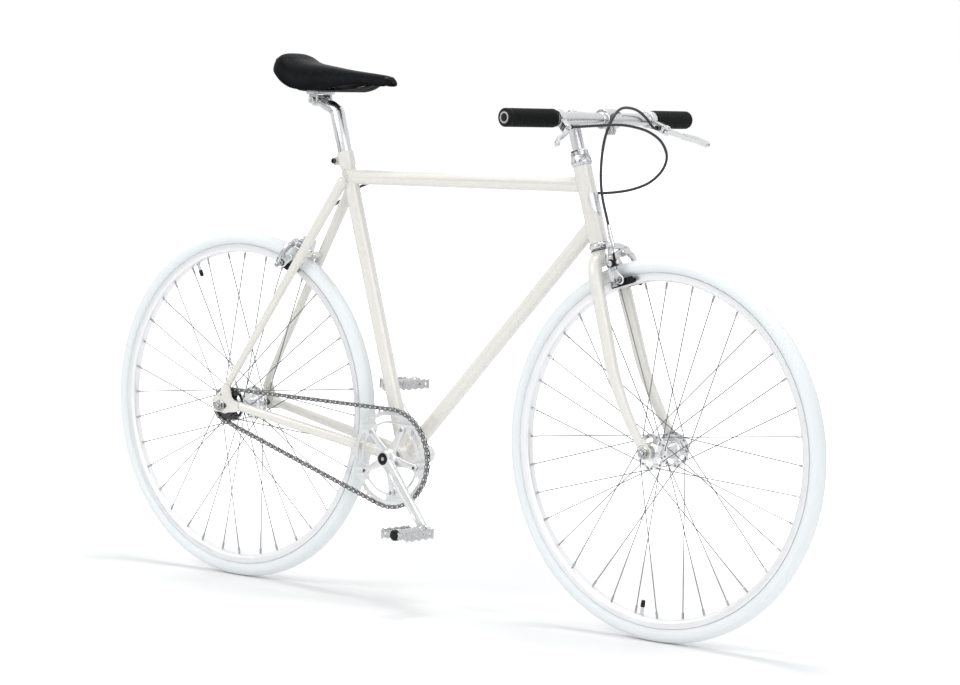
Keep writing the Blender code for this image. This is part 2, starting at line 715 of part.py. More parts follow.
def hub_shell(name, hub, width, axle_radius, freewheel, look, parent):
    """A high-flange hub with cut-out windows, and a seat for a freewheel on the right."""
    bore = clear_bore(axle_radius, RUNNING_FIT)
    inner, outer = FLANGE_OFFSET - FLANGE_THICKNESS / 2, FLANGE_OFFSET + FLANGE_THICKNESS / 2
    left_end = width / 2 - CONE_DEPTH
    seat = FREEWHEEL_BORE_RADIUS - GAP * 2
    right = [(seat, -outer), (seat, -FREEWHEEL_SEAT_END)] \
        if freewheel else [(HUB_END_RADIUS, -outer), (HUB_END_RADIUS, -left_end)]
    right_end = right[-1][1]
    profile = [(HUB_END_RADIUS, left_end), (HUB_END_RADIUS, outer), (FLANGE_RADIUS, outer),
               (FLANGE_RADIUS, inner), (HUB_BARREL_RADIUS + 0.003, inner),
               (HUB_BARREL_RADIUS, inner - 0.008), (HUB_BARREL_RADIUS, 0.008 - inner),
               (HUB_BARREL_RADIUS + 0.003, -inner), (FLANGE_RADIUS, -inner),
               (FLANGE_RADIUS, -outer)] + right + [(bore, right_end), (bore, left_end)]
    shape = turned(profile, pose(hub, ACROSS, UP), closed=True, sides=HUB_SIDES)
    windows = []
    radius = 0.0222
    for k in range(FLANGE_WINDOWS):
        turn = 2 * math.pi * (k + 0.5) / FLANGE_WINDOWS
        middle = hub + Vector((math.cos(turn) * radius, 0, math.sin(turn) * radius))
        windows += [rod(middle + ACROSS * (inner - 0.002), middle + ACROSS * (outer + 0.002), 0.0034,
                        sides=5),
                    rod(middle - ACROSS * (outer + 0.002), middle - ACROSS * (inner - 0.002), 0.0034,
                        sides=5)]
    node(name, cut(shape, gathered(windows)), look, parent)


def axle(name, hub, width, radius, end, inset, look, parent):
    """An axle with its cones inside the ends and its nuts outside them."""
    face = width / 2
    outside = face + DROPOUT_THICKNESS + 3 * GAP
    nut, flange, cone = 0.0085, 0.0105, 0.0088

    def half(cone_start):
        return [(radius, end), (radius, outside + 0.010), (nut, outside + 0.009),
                (flange, outside + 0.002), (flange, outside), (radius, outside),
                (radius, face - GAP), (cone, face - GAP), (cone, cone_start),
                (radius, cone_start)]
    left, right = half(inset[0]), half(inset[1])
    profile = [(0, end)] + left + [(r, -y) for r, y in reversed(right)] + [(0, -end)]
    node(name, turned(profile, pose(hub, ACROSS, UP), sides=10), look, parent)


def wheel(name, hub, width, axle_radius, freewheel, looks, parent):
    tyre(name + "_tyre", hub, looks["tyre"], parent)
    rim(name + "_rim", hub, looks["rim"], parent)
    hub_shell(name + "_hub", hub, width, axle_radius, freewheel, looks["hub"], parent)
    for side, word in ((LEFT, "left"), (RIGHT, "right")):
        spokes(name + "_spokes_" + word, hub, side, looks["spoke"], parent)


# Drive

def toothed(teeth, phase):
    """A sprocket's outline, with each tooth centred between two pins of the chain."""
    radius = pitch_radius(teeth)
    root = (radius - CHAIN_HEIGHT / 2) * math.cos(math.pi / teeth) - GAP
    tip = radius + TOOTH_RISE
    outline = []
    for k in range(teeth):
        middle = phase + 2 * math.pi * k / teeth
        base = TOOTH_WIDTH / 2 / root
        point = TOOTH_WIDTH / 4 / tip
        for r, a in ((root, -base), (tip, -point), (tip, point), (root, base)):
            outline.append((r * math.cos(middle + a), r * math.sin(middle + a)))
    return outline


def chain_stations():
    """Every pin of the chain in the drive's plane, from the ring's top tangent point round."""
    big, small = pitch_radius(RING_TEETH), pitch_radius(SPROCKET_TEETH)
    centres = CHAIN_STAY_LENGTH
    back = REAR_AXLE - CRANK_AXLE
    heading = math.atan2(back.z, back.x)
    lean = math.asin((big - small) / centres)
    straight = math.sqrt(centres ** 2 - (big - small) ** 2)
    top = heading - (math.pi / 2 - lean)
    low = heading + (math.pi / 2 - lean)
    ring = Vector((CRANK_AXLE.x, CRANK_AXLE.z))
    cog = Vector((REAR_AXLE.x, REAR_AXLE.z))

    def spot(middle, radius, angle):
        return middle + Vector((math.cos(angle), math.sin(angle))) * radius
    arc_small = small * (math.pi - 2 * lean)
    arc_big = big * (math.pi + 2 * lean)
    pins = []
    for k in range(CHAIN_LINKS):
        s = k * CHAIN_PITCH
        if s < straight:
            start, end = spot(ring, big, top), spot(cog, small, top)
            pins.append(start.lerp(end, s / straight))
        elif s < straight + arc_small:
            pins.append(spot(cog, small, top + (s - straight) / small))
        elif s < 2 * straight + arc_small:
            start, end = spot(cog, small, low), spot(ring, big, low)
            pins.append(start.lerp(end, (s - straight - arc_small) / straight))
        else:
            pins.append(spot(ring, big, low + (s - 2 * straight - arc_small) / big))
    first_cog = math.ceil(straight / CHAIN_PITCH) * CHAIN_PITCH
    cog_phase = top + (first_cog - straight) / small + math.pi / SPROCKET_TEETH
    first_ring = math.ceil((2 * straight + arc_small) / CHAIN_PITCH) * CHAIN_PITCH
    ring_phase = low + (first_ring - 2 * straight - arc_small) / big + math.pi / RING_TEETH
    return pins, cog_phase, ring_phase


def drive_plane(centre, y):
    """Flat outlines lie in X and Z, at a distance to the right of the middle plane."""
    place = Vector((centre.x, -y, centre.z))
    return Matrix.Translation(place) @ Matrix.Rotation(math.pi / 2, 4, "X")


def chain(pins, look, frame):
    """One closed band with a slot between each two pins, where the teeth stand."""
    count = len(pins)
    outer, inner = [], []
    for i, pin in enumerate(pins):
        heading = (pins[(i + 1) % count] - pins[i - 1]).normalized()
        side = Vector((heading.y, -heading.x)) * CHAIN_HEIGHT / 2
        outer.append(tuple(pin + side))
        inner.append(tuple(pin - side))
    band = plate([outer, inner], CHAIN_WIDTH, drive_plane(ORIGIN, CHAIN_LINE))
    slots = []
    for i, pin in enumerate(pins):
        after = pins[(i + 1) % count]
        middle = (pin + after) / 2
        heading = (after - pin).normalized()
        matrix = pose(Vector((middle.x, -CHAIN_LINE, middle.y)), Vector((-heading.y, 0, heading.x)),
                      Vector((heading.x, 0, heading.y)))
        slots.append(block((CHAIN_SLOT[0], CHAIN_SLOT[1], CHAIN_HEIGHT * 2), matrix))
    node("chain", cut(band, gathered(slots)), look, frame)


def chainring(phase, look, crankset):
    """A toothed ring with a bolt tab for each arm and a window between each two."""
    outline = toothed(RING_TEETH, phase)
    inside, windows = [], []
    low, high = RING_WINDOW_RADII
    for k in range(5):
        arm = CRANK_ANGLE + math.pi / 5 + 2 * math.pi * k / 5
        for da, r in ((-0.20, RING_INNER_RADIUS), (-0.115, RING_BOLT_RADIUS - 0.006),
                      (0.115, RING_BOLT_RADIUS - 0.006), (0.20, RING_INNER_RADIUS),
                      (0.20 + 0.285, RING_INNER_RADIUS), (0.20 + 0.57, RING_INNER_RADIUS)):
            inside.append((r * math.cos(arm + da), r * math.sin(arm + da)))
        turns = [arm + math.pi / 5 + RING_WINDOW_SPAN * (i / 4 - 0.5) for i in range(5)]
        windows.append([(high * math.cos(t), high * math.sin(t)) for t in turns]
                       + [(low * math.cos(t), low * math.sin(t)) for t in reversed(turns)])
    shape = plate([outline, inside] + windows, TOOTH_THICKNESS, drive_plane(CRANK_AXLE, CHAIN_LINE))
    node("chainring", shape, look, crankset)


def freewheel(phase, look, body):
    bore = clear_bore(FREEWHEEL_BORE_RADIUS - GAP * 2, RUNNING_FIT)
    cog = plate([toothed(SPROCKET_TEETH, phase), circle(0.0205, 8)], TOOTH_THICKNESS,
                drive_plane(REAR_AXLE, CHAIN_LINE))
    half = TOOTH_THICKNESS / 2
    body_shape = turned([(FREEWHEEL_RADIUS, -CHAIN_LINE + 0.0065),
                         (FREEWHEEL_RADIUS, -CHAIN_LINE - half - 0.0035),
                         (bore + 0.0015, -CHAIN_LINE - half - 0.0045),
                         (bore, -CHAIN_LINE - half - 0.0045), (bore, -CHAIN_LINE + 0.0065)],
                        pose(REAR_AXLE, ACROSS, UP), closed=True)
    node("freewheel", joined([body_shape, cog]), look, body)


def square_taper(side, extra):
    """The square end of the spindle, with room round it where a crank's socket is cut."""
    start = CRANK_AXLE + ACROSS * side * (CRANK_INNER_FACE - 0.006)
    end = CRANK_AXLE + ACROSS * side * (SPINDLE_END + extra)
    corner = SPINDLE_SQUARE / math.sqrt(2) + extra * math.sqrt(2)
    return rod(start, end, corner, corner * 0.94, sides=4, forward=along(CRANK_ANGLE),
               turn=math.pi / 4)


def crank_spindle(look, crankset):
    end = CRANK_INNER_FACE - 0.005
    middle = rod(CRANK_AXLE - ACROSS * end, CRANK_AXLE + ACROSS * end, SPINDLE_RADIUS)
    node("crank_spindle", joined([middle, square_taper(LEFT, 0.0), square_taper(RIGHT, 0.0)]),
         look, crankset)


def crank_arm(side):
    """A tapered arm between the spindle's boss and the pedal's eye, with the pedal's axle."""
    angle = CRANK_ANGLE if side == RIGHT else CRANK_ANGLE + math.pi
    out = along(angle)
    across = ACROSS * side
    pedal = CRANK_AXLE + out * CRANK_LENGTH
    boss = rod(CRANK_AXLE + across * CRANK_INNER_FACE, CRANK_AXLE + across * 0.0675,
               CRANK_BOSS_RADIUS, CRANK_BOSS_RADIUS - 0.001, forward=out)
    eye = rod(pedal + across * CRANK_EYE_FACE, pedal + across * (CRANK_EYE_FACE + CRANK_THICKNESS),
              CRANK_EYE_RADIUS, forward=out)
    start = CRANK_AXLE + across * (CRANK_INNER_FACE + CRANK_THICKNESS / 2 + 0.001)
    end = pedal + across * (CRANK_EYE_FACE + CRANK_THICKNESS / 2)
    arm = block((0.025, CRANK_THICKNESS, (end - start).length),
                pose((start + end) / 2, end - start, across.cross(out)), (0.76, 0.9))
    spike = rod(pedal + across * (CRANK_EYE_FACE + 0.004), pedal
                + across * (PEDAL_INNER_FACE + PEDAL_WIDTH - 0.006), PEDAL_AXLE_RADIUS, sides=12)
    return joined([boss, arm, eye, spike])


def crank_arm_left(look, crankset):
    node("crank_arm_left", cut(crank_arm(LEFT), square_taper(LEFT, GAP)), look, crankset)


def crank_arm_right(look, crankset):
    """The right arm carries the five-arm spider that holds the chainring."""
    face = CHAIN_LINE + TOOTH_THICKNESS / 2 + GAP
    fingers = []
    for k in range(5):
        arm = CRANK_ANGLE + math.pi / 5 + 2 * math.pi * k / 5
        tip = Vector((math.cos(arm), math.sin(arm))) * RING_BOLT_RADIUS
        outline = ribbon([(0, 0), tuple(tip * 0.5), tuple(tip)], [0.020, 0.0135, 0.013], ends=2)
        fingers.append(plate([outline], SPIDER_THICKNESS,
                             drive_plane(CRANK_AXLE, face + SPIDER_THICKNESS / 2)))
        bolt = CRANK_AXLE + along(arm) * RING_BOLT_RADIUS
        fingers.append(rod(bolt - ACROSS * (face + 0.002), bolt - ACROSS * (face + 0.0055), 0.0048,
                           sides=6))
    bore = rod(CRANK_AXLE - ACROSS * 0.040, CRANK_AXLE - ACROSS * CRANK_INNER_FACE,
               clear_bore(SPINDLE_RADIUS, RUNNING_FIT))
    collar = rod(CRANK_AXLE - ACROSS * face, CRANK_AXLE - ACROSS * (CRANK_INNER_FACE + 0.002),
                 CRANK_BOSS_RADIUS + 0.003)
    shape = joined([crank_arm(RIGHT), collar] + fingers)
    node("crank_arm_right", cut(shape, bore, square_taper(RIGHT, GAP)), look, crankset)


def pedal(side, name, centre, look, body):
    """A cage of flat plate round a barrel that turns on the pedal's axle."""
    across = ACROSS * side
    inner, outer = PEDAL_INNER_FACE, PEDAL_INNER_FACE + PEDAL_WIDTH
    half = PEDAL_LENGTH / 2
    corner = 0.012
    wall = PEDAL_WALL

    def ring(inset):
        x, low, high, c = half - inset, inner + 0.001 + inset, outer - inset, corner - inset * 0.6
        return [(x, low + c), (x, high - c), (x - c, high), (c - x, high), (-x, high - c),
                (-x, low + c), (c - x, low), (x - c, low)]
    outline = [[(x, y * side) for x, y in ring(inset)] for inset in (0, wall)]
    cage = plate(outline, PEDAL_HEIGHT, Matrix.Translation(centre))
    barrel = rod(centre + across * inner, centre + across * (outer - 0.001), PEDAL_BARREL_RADIUS,
                 PEDAL_BARREL_RADIUS - 0.001)
    bore = rod(centre + across * (inner - 0.01), centre + across * (outer - 0.004),
               clear_bore(PEDAL_AXLE_RADIUS, RUNNING_FIT, 12), sides=12)
    node(name, cut(joined([barrel, cage]), bore), look, body)


# Fork, stem and handlebar

def fork_steerer(look, steering):
    """The steerer with its crown and the race that the lower cup runs on."""
    bore = QUILL_RADIUS + GAP / math.cos(math.pi / TUBE_SIDES)
    shape = turned([(STEERER_RADIUS, STEERER_TOP), (STEERER_RADIUS, CROWN_RACE + 0.0041),
                    (CUP_RADIUS - 0.0045, CROWN_RACE + 0.0036), (CUP_RADIUS - 0.0015, CROWN_RACE),
                    (CROWN_RADIUS, CROWN_RACE - 0.002), (CROWN_RADIUS, CROWN_BOTTOM + 0.004),
                    (CROWN_RADIUS - 0.003, CROWN_BOTTOM), (0.006, CROWN_BOTTOM),
                    (bore, CROWN_RACE + 0.03), (bore, STEERER_TOP)],
                   pose(STEER_FOOT, STEER_UP), closed=True)
    hole = rod(steer(-0.03, 0, BRAKE_BOLT_HEIGHT), steer(0.03, 0, BRAKE_BOLT_HEIGHT),
               clear_bore(CALIPER_BOLT_RADIUS, GAP, 12), sides=12)
    node("fork_steerer", cut(shape, hole), look, steering)


def headset_locknut(look, steering):
    bore = QUILL_RADIUS + (GAP + 0.0003) / math.cos(math.pi / TUBE_SIDES)
    low = HEAD_TOP + UPPER_CUP_STACK
    ledge = STEERER_TOP + GAP
    wide = STEERER_RADIUS + GAP / math.cos(math.pi / TUBE_SIDES)
    shape = turned([(CUP_RADIUS - 0.003, LOCKNUT_TOP), (CUP_RADIUS - 0.001, low), (wide, low),
                    (wide, ledge), (bore, ledge), (bore, LOCKNUT_TOP)], pose(STEER_FOOT, STEER_UP), closed=True)
    node("headset_locknut", shape, look, steering)


def blade_offset(height):
    """How far ahead of the steering axis the blade lies at a height."""
    below = max(0.0, BLADE_BEND_START - height) / BLADE_BEND_START
    return BLADE_OFFSET + (FORK_RAKE - 0.004 - BLADE_OFFSET) * below ** 1.5


def fork_blade(side, name, look, steering):
    points, radii = [], []
    shoulder = [(0.010, BRAKE_BOLT_HEIGHT + 0.001), (0.022, BRAKE_BOLT_HEIGHT - 0.003),
                (0.031, BRAKE_BOLT_HEIGHT - 0.012), (0.0362, BRAKE_BOLT_HEIGHT - 0.026)]
    for y, height in shoulder:
        points.append(steer(BLADE_OFFSET * min(1.0, y / 0.036), side * y, height))
        radii.append(BLADE_RADII[0])
    for height in (0.310, 0.240, BLADE_BEND_START, 0.130, 0.095, 0.065, 0.038, 0.014):
        share = (0.335 - height) / 0.335
        spread = BLADE_SPREAD[0] + (BLADE_SPREAD[1] - BLADE_SPREAD[0]) * min(1.0, share * 1.25)
        points.append(steer(blade_offset(height), side * spread, height))
        wide, middle, thin = BLADE_RADII
        radii.append(wide + (middle - wide) * share * 2 if share < 0.5
                     else middle + (thin - middle) * (share - 0.5) * 2)
    blade = bent_tube(points, radii, resolution=3)
    crown = rod(steer(0, 0, CROWN_BOTTOM - 0.02), steer(0, 0, CROWN_RACE + 0.02),
                clear_bore(CROWN_RADIUS, GAP))
    face = FRONT_HUB_WIDTH / 2 + GAP
    middle = face + DROPOUT_THICKNESS / 2
    hole = circle(FRONT_AXLE_RADIUS + GAP * 2, 12, (0, 0))
    lean = STEER_FORWARD.x, STEER_FORWARD.z
    up = STEER_UP.x, STEER_UP.z
    local = [(-0.012, 0.024), (-0.0135, 0.010), (-0.012, -0.004), (-0.006, -0.0115), (0.004, -0.0125),
             (0.0105, -0.0065), (0.0115, 0.003), (0.006, 0.014), (0.003, 0.026)]
    outline = [(f * lean[0] + h * up[0], f * lean[1] + h * up[1]) for f, h in local]
    tip = plate([outline, hole], DROPOUT_THICKNESS,
                Matrix.Translation(FRONT_AXLE + ACROSS * side * middle)
                @ Matrix.Rotation(math.pi / 2, 4, "X"))
    node(name, joined([cut(blade, crown), tip]), look, steering)


BAR_CENTRE = STEER_FOOT + STEER_UP * STEM_TOP + Vector((STEM_REACH, 0, 0))


def stem(look, steering):
    """A quill in the steerer, a level extension and a clamp round the bar."""
    foot = steer(0, 0, CROWN_RACE + 0.075)
    corner = steer(0, 0, STEM_TOP)
    quill = rod(foot, corner + STEER_UP * 0.011, QUILL_RADIUS)
    reach = bent_tube([corner - Vector((0.004, 0, 0)), corner + Vector((0.02, 0, 0)),
                       BAR_CENTRE], [QUILL_RADIUS + 0.0015, QUILL_RADIUS + 0.001, QUILL_RADIUS],
                      resolution=4)
    half = STEM_CLAMP_WIDTH / 2
    clamp = rod(BAR_CENTRE - ACROSS * half, BAR_CENTRE + ACROSS * half, STEM_CLAMP_RADIUS)
    ear = BAR_CENTRE + Vector((0.006, 0, -0.020))
    ears = block((0.014, 0.012, 0.014), Matrix.Translation(ear))
    bolt = rod(ear - ACROSS * 0.009, ear + ACROSS * 0.009, 0.0035, sides=8)
    hole = rod(BAR_CENTRE - ACROSS * 0.04, BAR_CENTRE + ACROSS * 0.04,
               clear_bore(BAR_SLEEVE_RADIUS, GAP))
    node("stem", cut(joined([quill, reach, clamp, ears, bolt]), hole), look, steering)


def bar_point(y):
    """The bar's middle line at a distance from the middle plane."""
    swept = max(0.0, abs(y) - BAR_BEND)
    return BAR_CENTRE + Vector((-math.tan(BAR_SWEEP) * swept, y, 0))


def bar_heading(side):
    return (bar_point(side * BAR_END) - bar_point(side * LEVER_CLAMP)).normalized()


def handlebar(look, steering):
    stations = [BAR_END, BAR_BEND + 0.004, BAR_BEND - 0.004, 0.026, 0.024]
    points, radii = [], []
    for y in stations:
        points.append(bar_point(y))
        radii.append(BAR_RADIUS if y > 0.025 else BAR_SLEEVE_RADIUS)
    mirrored = [Vector((p.x, -p.y, p.z)) for p in reversed(points)]
    shape = bent_tube(points + mirrored, radii + radii[::-1])
    node("handlebar", shape, look, steering)


def grip(side, name, look, steering):
    heading = bar_heading(side)
    start = bar_point(side * GRIP_START)
    reach = (bar_point(side * BAR_END) - start).length
    bore = clear_bore(BAR_RADIUS, GAP)
    shape = turned([(0, reach + GRIP_PLUG), (GRIP_RADIUS - 0.002, reach + GRIP_PLUG),
                    (GRIP_RADIUS, reach + GRIP_PLUG - 0.002), (GRIP_RADIUS, 0), (bore, 0),
                    (bore, reach + GAP), (0, reach + GAP)], pose(start, heading))
    node(name, shape, look, steering)


# Brake levers

def lever_axes(side):
    """Outward, away from the bar, and the pivot's direction."""
    outward = ACROSS * side
    away = Vector((math.cos(LEVER_DROP_ANGLE), 0, -math.sin(LEVER_DROP_ANGLE)))
    return outward, away, Vector((math.sin(LEVER_DROP_ANGLE), 0, math.cos(LEVER_DROP_ANGLE)))


def lever_pivot(side):
    outward, away, _ = lever_axes(side)
    return bar_point(side * LEVER_CLAMP) + outward * LEVER_PIVOT[0] + away * LEVER_PIVOT[1]


def lever_plate(side, outlines, thickness, offset=0.0):
    """A plate in the lever's plane; the right side's is the left's seen in a mirror."""
    _, away, pin = lever_axes(side)
    outline = [[(x * side, y) for x, y in line] for line in outlines]
    matrix = Matrix((ACROSS, away, ACROSS.cross(away))).transposed().to_4x4()
    return plate(outline, thickness, Matrix.Translation(lever_pivot(side) + pin * offset) @ matrix)


CABLE_EXIT = (-0.018, -0.0085)


def lever_bracket(side, name, look, steering):
    outward, away, pin = lever_axes(side)
    clamp_at = bar_point(side * LEVER_CLAMP)
    heading = bar_heading(side)
    ring = rod(clamp_at - heading * LEVER_CLAMP_WIDTH / 2, clamp_at + heading * LEVER_CLAMP_WIDTH / 2,
               BAR_RADIUS + 0.0045)
    thick = LEVER_THICKNESS + 2 * (LEVER_CHEEK + GAP)
    dx, dy = LEVER_PIVOT
    body = lever_plate(side, [ribbon([(-dx, -dy + 0.010), (-dx + 0.001, -dy * 0.55), (-0.0075, -0.012),
                                      (0.0, 0.0)], [0.012, 0.0125, 0.015, 0.0135])], thick)
    spout = rod(lever_pivot(side) + outward * CABLE_EXIT[0] + away * CABLE_EXIT[1],
                lever_pivot(side) + outward * -0.004 + away * CABLE_EXIT[1], 0.0046, sides=8)
    hole = rod(clamp_at - heading * 0.02, clamp_at + heading * 0.02, clear_bore(BAR_RADIUS, GAP))
    slot = lever_plate(side, [[(-0.0085, -0.0085), (0.012, -0.0085), (0.012, 0.012),
                               (-0.0085, 0.012)]], LEVER_THICKNESS + 2 * GAP)
    pivot = lever_pivot(side)
    pin_rod = rod(pivot - pin * (thick / 2 + 0.001), pivot + pin * (thick / 2 + 0.001),
                  LEVER_PIN_RADIUS, sides=8)
    shape = joined([cut(joined([ring, body, spout]), hole, slot), pin_rod])
    node(name, shape, look, steering)


def brake_lever(side, name, look, body):
    a = LEVER_REST_ANGLE
    along_blade = Vector((math.cos(a), math.sin(a)))
    normal = Vector((-along_blade.y, along_blade.x))
    reach = LEVER_LENGTH
    route = [(0, 0), (0.15, 0.0015), (0.40, 0.001), (0.75, -0.0035), (0.985, 0)]
    points = [tuple(along_blade * (t * reach) + normal * n) for t, n in route]
    blade = lever_plate(side, [ribbon(points, [LEVER_HUB_RADIUS * 2, 0.009, 0.0065, 0.006, 0.006])],
                        LEVER_THICKNESS)
    wide = lever_plate(side, [ribbon(points[2:], [0.004, 0.0045, 0.004], ends=2)], LEVER_THICKNESS + 0.004)
    _, away, pin = lever_axes(side)
    tip = lever_pivot(side) + (ACROSS * side * along_blade.x + away * along_blade.y) * reach
    bore = rod(lever_pivot(side) - pin * 0.01, lever_pivot(side) + pin * 0.01,
               clear_bore(LEVER_PIN_RADIUS, RUNNING_FIT, 8), sides=8)
    node(name, cut(joined([blade, wide, ball(tip, 0.005, 8, 5)]), bore), look, body)


# Brake calipers

class Caliper:
    """Where a caliper sits: a along its width, b up its plane and c out from its mount."""

    def __init__(self, name, bolt, up, out, plane, wheel_axle, mount_face):
        self.name, self.bolt, self.up, self.out = name, bolt, up, out
        self.across = up.cross(out)
        self.rear_layer = plane + CALIPER_PLATE / 2
        self.front_layer = plane + CALIPER_PLATE * 1.5 + GAP
        self.plane, self.wheel_axle, self.mount_face = plane, wheel_axle, mount_face

    def reach(self, c):
        """How far below the bolt the middle of the brake track lies, at a distance out."""
        offset = self.bolt + self.out * c - self.wheel_axle
        height = offset.dot(self.up)
        return height - math.sqrt(height ** 2 - offset.length_squared + BRAKE_TRACK_RADIUS ** 2)

    def point(self, a, b, c):
        return self.bolt + self.across * a + self.up * b + self.out * c

    def layer(self, c):
        return Matrix.Translation(self.point(0, 0, c)) \
            @ Matrix((self.across, self.up, self.out)).transposed().to_4x4()


FRONT_CALIPER = Caliper("front", steer(0, 0, BRAKE_BOLT_HEIGHT), STEER_UP, STEER_FORWARD,
                        FRONT_CALIPER_PLANE, FRONT_AXLE, CROWN_RADIUS)


def rear_caliper():
    top, bottom = stay_ends(LEFT)
    up = top - bottom
    up.y = 0
    up.normalize()
    return Caliper("rear", bridge_seat()[0], up, Vector((-up.z, 0, up.x)), REAR_CALIPER_PLANE,
                   REAR_AXLE, BRIDGE_RADIUS)


REAR_CALIPER = rear_caliper()
PAD_FACE = RIM_WIDTH / 2 + PAD_CLEARANCE
PAD_BACK = PAD_FACE + PAD_SIZE[1]
ARM_FOOT = PAD_BACK + 0.0095
CABLE_SIDE = -0.0285


def caliper_mount(cal, look, parent):
    """The back plate with the side pivot, and the centre bolt through fork crown or bridge."""
    px, py = CALIPER_SIDE_PIVOT
    back = plate([ribbon([(0, 0), (px, py)], [0.013, 0.012])], 0.005,
                 cal.layer(cal.plane - 0.0025 - GAP))
    spacer = rod(cal.point(0, 0, cal.mount_face + GAP), cal.point(0, 0, cal.plane - 0.003), 0.0065,
                 sides=8)
    bolt = rod(cal.point(0, 0, cal.plane - 0.003), cal.point(0, 0, cal.front_layer
                                                             + CALIPER_PLATE / 2 + 0.003),
               CALIPER_BOLT_RADIUS, sides=8)
    head = rod(cal.point(0, 0, cal.front_layer + CALIPER_PLATE / 2 + GAP),
               cal.point(0, 0, cal.front_layer + CALIPER_PLATE / 2 + 0.0065), 0.006, 0.0045, sides=8)
    pin = rod(cal.point(px, py, cal.plane - 0.003), cal.point(px, py, cal.plane + CALIPER_PLATE),
              CALIPER_BOLT_RADIUS, sides=8)
    shape = [spacer, back, bolt, head, pin]
    if cal.name == "front":
        shape.append(rod(cal.point(0, 0, -CROWN_RADIUS - 0.004), cal.point(0, 0, cal.mount_face + 0.002),
                         CALIPER_BOLT_RADIUS, sides=8))
    node(cal.name + "_brake_mount", joined(shape), look, parent)


def centre_arm(cal, name, look, body):
    """The arm on the centre bolt: over the tyre to one pad, and out to the cable's anchor."""
    foot = 0.002 - cal.reach(cal.front_layer)
    outline = ribbon([(-0.036, -0.008), (-0.020, -0.003), (0, 0), (0.016, 0.003), (0.029, -0.006),
                      (0.035, -0.022), (ARM_FOOT, foot)],
                     [0.010, 0.010, 0.015, 0.013, 0.012, 0.0105, 0.0115])
    hole = circle(clear_bore(CALIPER_BOLT_RADIUS, RUNNING_FIT, 12), 12)
    node(name, plate([outline, hole], CALIPER_PLATE, cal.layer(cal.front_layer)), look, body)


def side_arm(cal, name, look, body):
    """The arm on the side pivot: over to the other pad, with the cable's adjuster on top."""
    foot = 0.002 - cal.reach(cal.rear_layer)
    px, py = CALIPER_SIDE_PIVOT
    outline = ribbon([(px, py), (0.006, 0.0145), (-0.018, 0.0155), (-0.031, 0.006), (-0.036, -0.014),
                      (-ARM_FOOT, foot)], [0.0125, 0.010, 0.0125, 0.012, 0.0105, 0.0115])
    hole = circle(clear_bore(CALIPER_BOLT_RADIUS, RUNNING_FIT, 12), 12, (px, py))
    arm = plate([outline, hole], CALIPER_PLATE, cal.layer(cal.rear_layer))
    tower = cal.front_layer + CALIPER_PLATE / 2 + 0.0015
    shoulder = rod(cal.point(CABLE_SIDE, 0.0165, cal.rear_layer), cal.point(CABLE_SIDE, 0.0165, tower),
                   0.0052, sides=8)
    barrel = rod(cal.point(CABLE_SIDE, 0.0115, tower), cal.point(CABLE_SIDE, 0.040, tower),
                 TOWER_RADIUS, sides=8)
    bore = rod(cal.point(CABLE_SIDE, 0.0, tower), cal.point(CABLE_SIDE, 0.050, tower), 0.0021,
               sides=8)
    node(name, cut(joined([arm, shoulder, barrel]), bore), look, body)


def brake_pad(cal, side, layer, name, look, body):
    """A rubber block beside the rim, with the stud that the arm holds."""
    length, thick, height = PAD_SIZE
    drop = cal.reach(layer)
    centre = cal.point(side * (PAD_FACE + thick / 2), -drop, layer)
    radial = centre - cal.wheel_axle
    radial.y = 0
    ahead = Matrix.Rotation(PAD_LEAD / BRAKE_TRACK_RADIUS, 3, ACROSS)
    lead = ahead @ (centre - cal.wheel_axle)
    radial = ahead @ radial
    shape = block((height, thick, length), pose(cal.wheel_axle + lead,
                                                radial.normalized().cross(ACROSS), radial))
    stud = rod(centre, cal.point(side * (ARM_FOOT - 0.0061), -drop, layer), 0.0028, sides=8)
    node(name, joined([shape, stud]), look, body)


def cable_stop(cal):
    """The top of the adjuster, where the housing ends."""
    return cal.point(CABLE_SIDE, 0.040 + GAP, cal.front_layer + CALIPER_PLATE / 2 + 0.0015)


def anchor_end(cal):
    return cal.point(CABLE_SIDE - 0.002, -0.009, cal.front_layer + CALIPER_PLATE / 2 + 0.0015)


# Cables

def cable(name, route, look, parent, inner=None):
    """A housing along a route, with the bare cable going on from its end to the anchor."""
    path = smooth_path(route, CABLE_STEP)
    radii = [CABLE_RADIUS] * len(path)
    if inner:
        path += [path[-1] + (inner[0] - path[-1]) * 0.002] + inner[1:]
        radii += [INNER_CABLE_RADIUS] * (len(inner))
    node(name, bent_tube(path, radii, resolution=2), look, parent)


def lever_spout(side):
    outward, away, _ = lever_axes(side)
    return lever_pivot(side) + outward * (CABLE_EXIT[0] - GAP) + away * CABLE_EXIT[1], outward


def by_bar(forward, y, up):
    """A point given from the handlebar's middle."""
    return BAR_CENTRE + Vector((forward, y, up))


def front_cable_route():
    start, outward = lever_spout(LEFT)
    end = cable_stop(FRONT_CALIPER)
    return [start, start - outward * 0.012, by_bar(0.012, 0.098, 0.003), by_bar(0.011, 0.070, 0.017),
            by_bar(0.015, 0.030, 0.021), by_bar(0.020, 0.000, 0.014), by_bar(0.021, -0.020, -0.006),
            by_bar(0.017, -0.030, -0.033), by_bar(0.014, -0.034, -0.068),
            by_bar(0.014, -0.035, -0.108), by_bar(0.018, -0.033, -0.143), end + STEER_UP * 0.020, end]


def beside_top_tube(share):
    """The housing's middle along the lower left of the top tube, a share of the way forward."""
    middle = TOP_TUBE_REAR.lerp(TOP_TUBE_FRONT, share)
    off = TUBE_RADIUS + CABLE_RADIUS + GAP
    return middle + Vector((0, off * math.cos(HOUSING_SIDE), -off * math.sin(HOUSING_SIDE)))


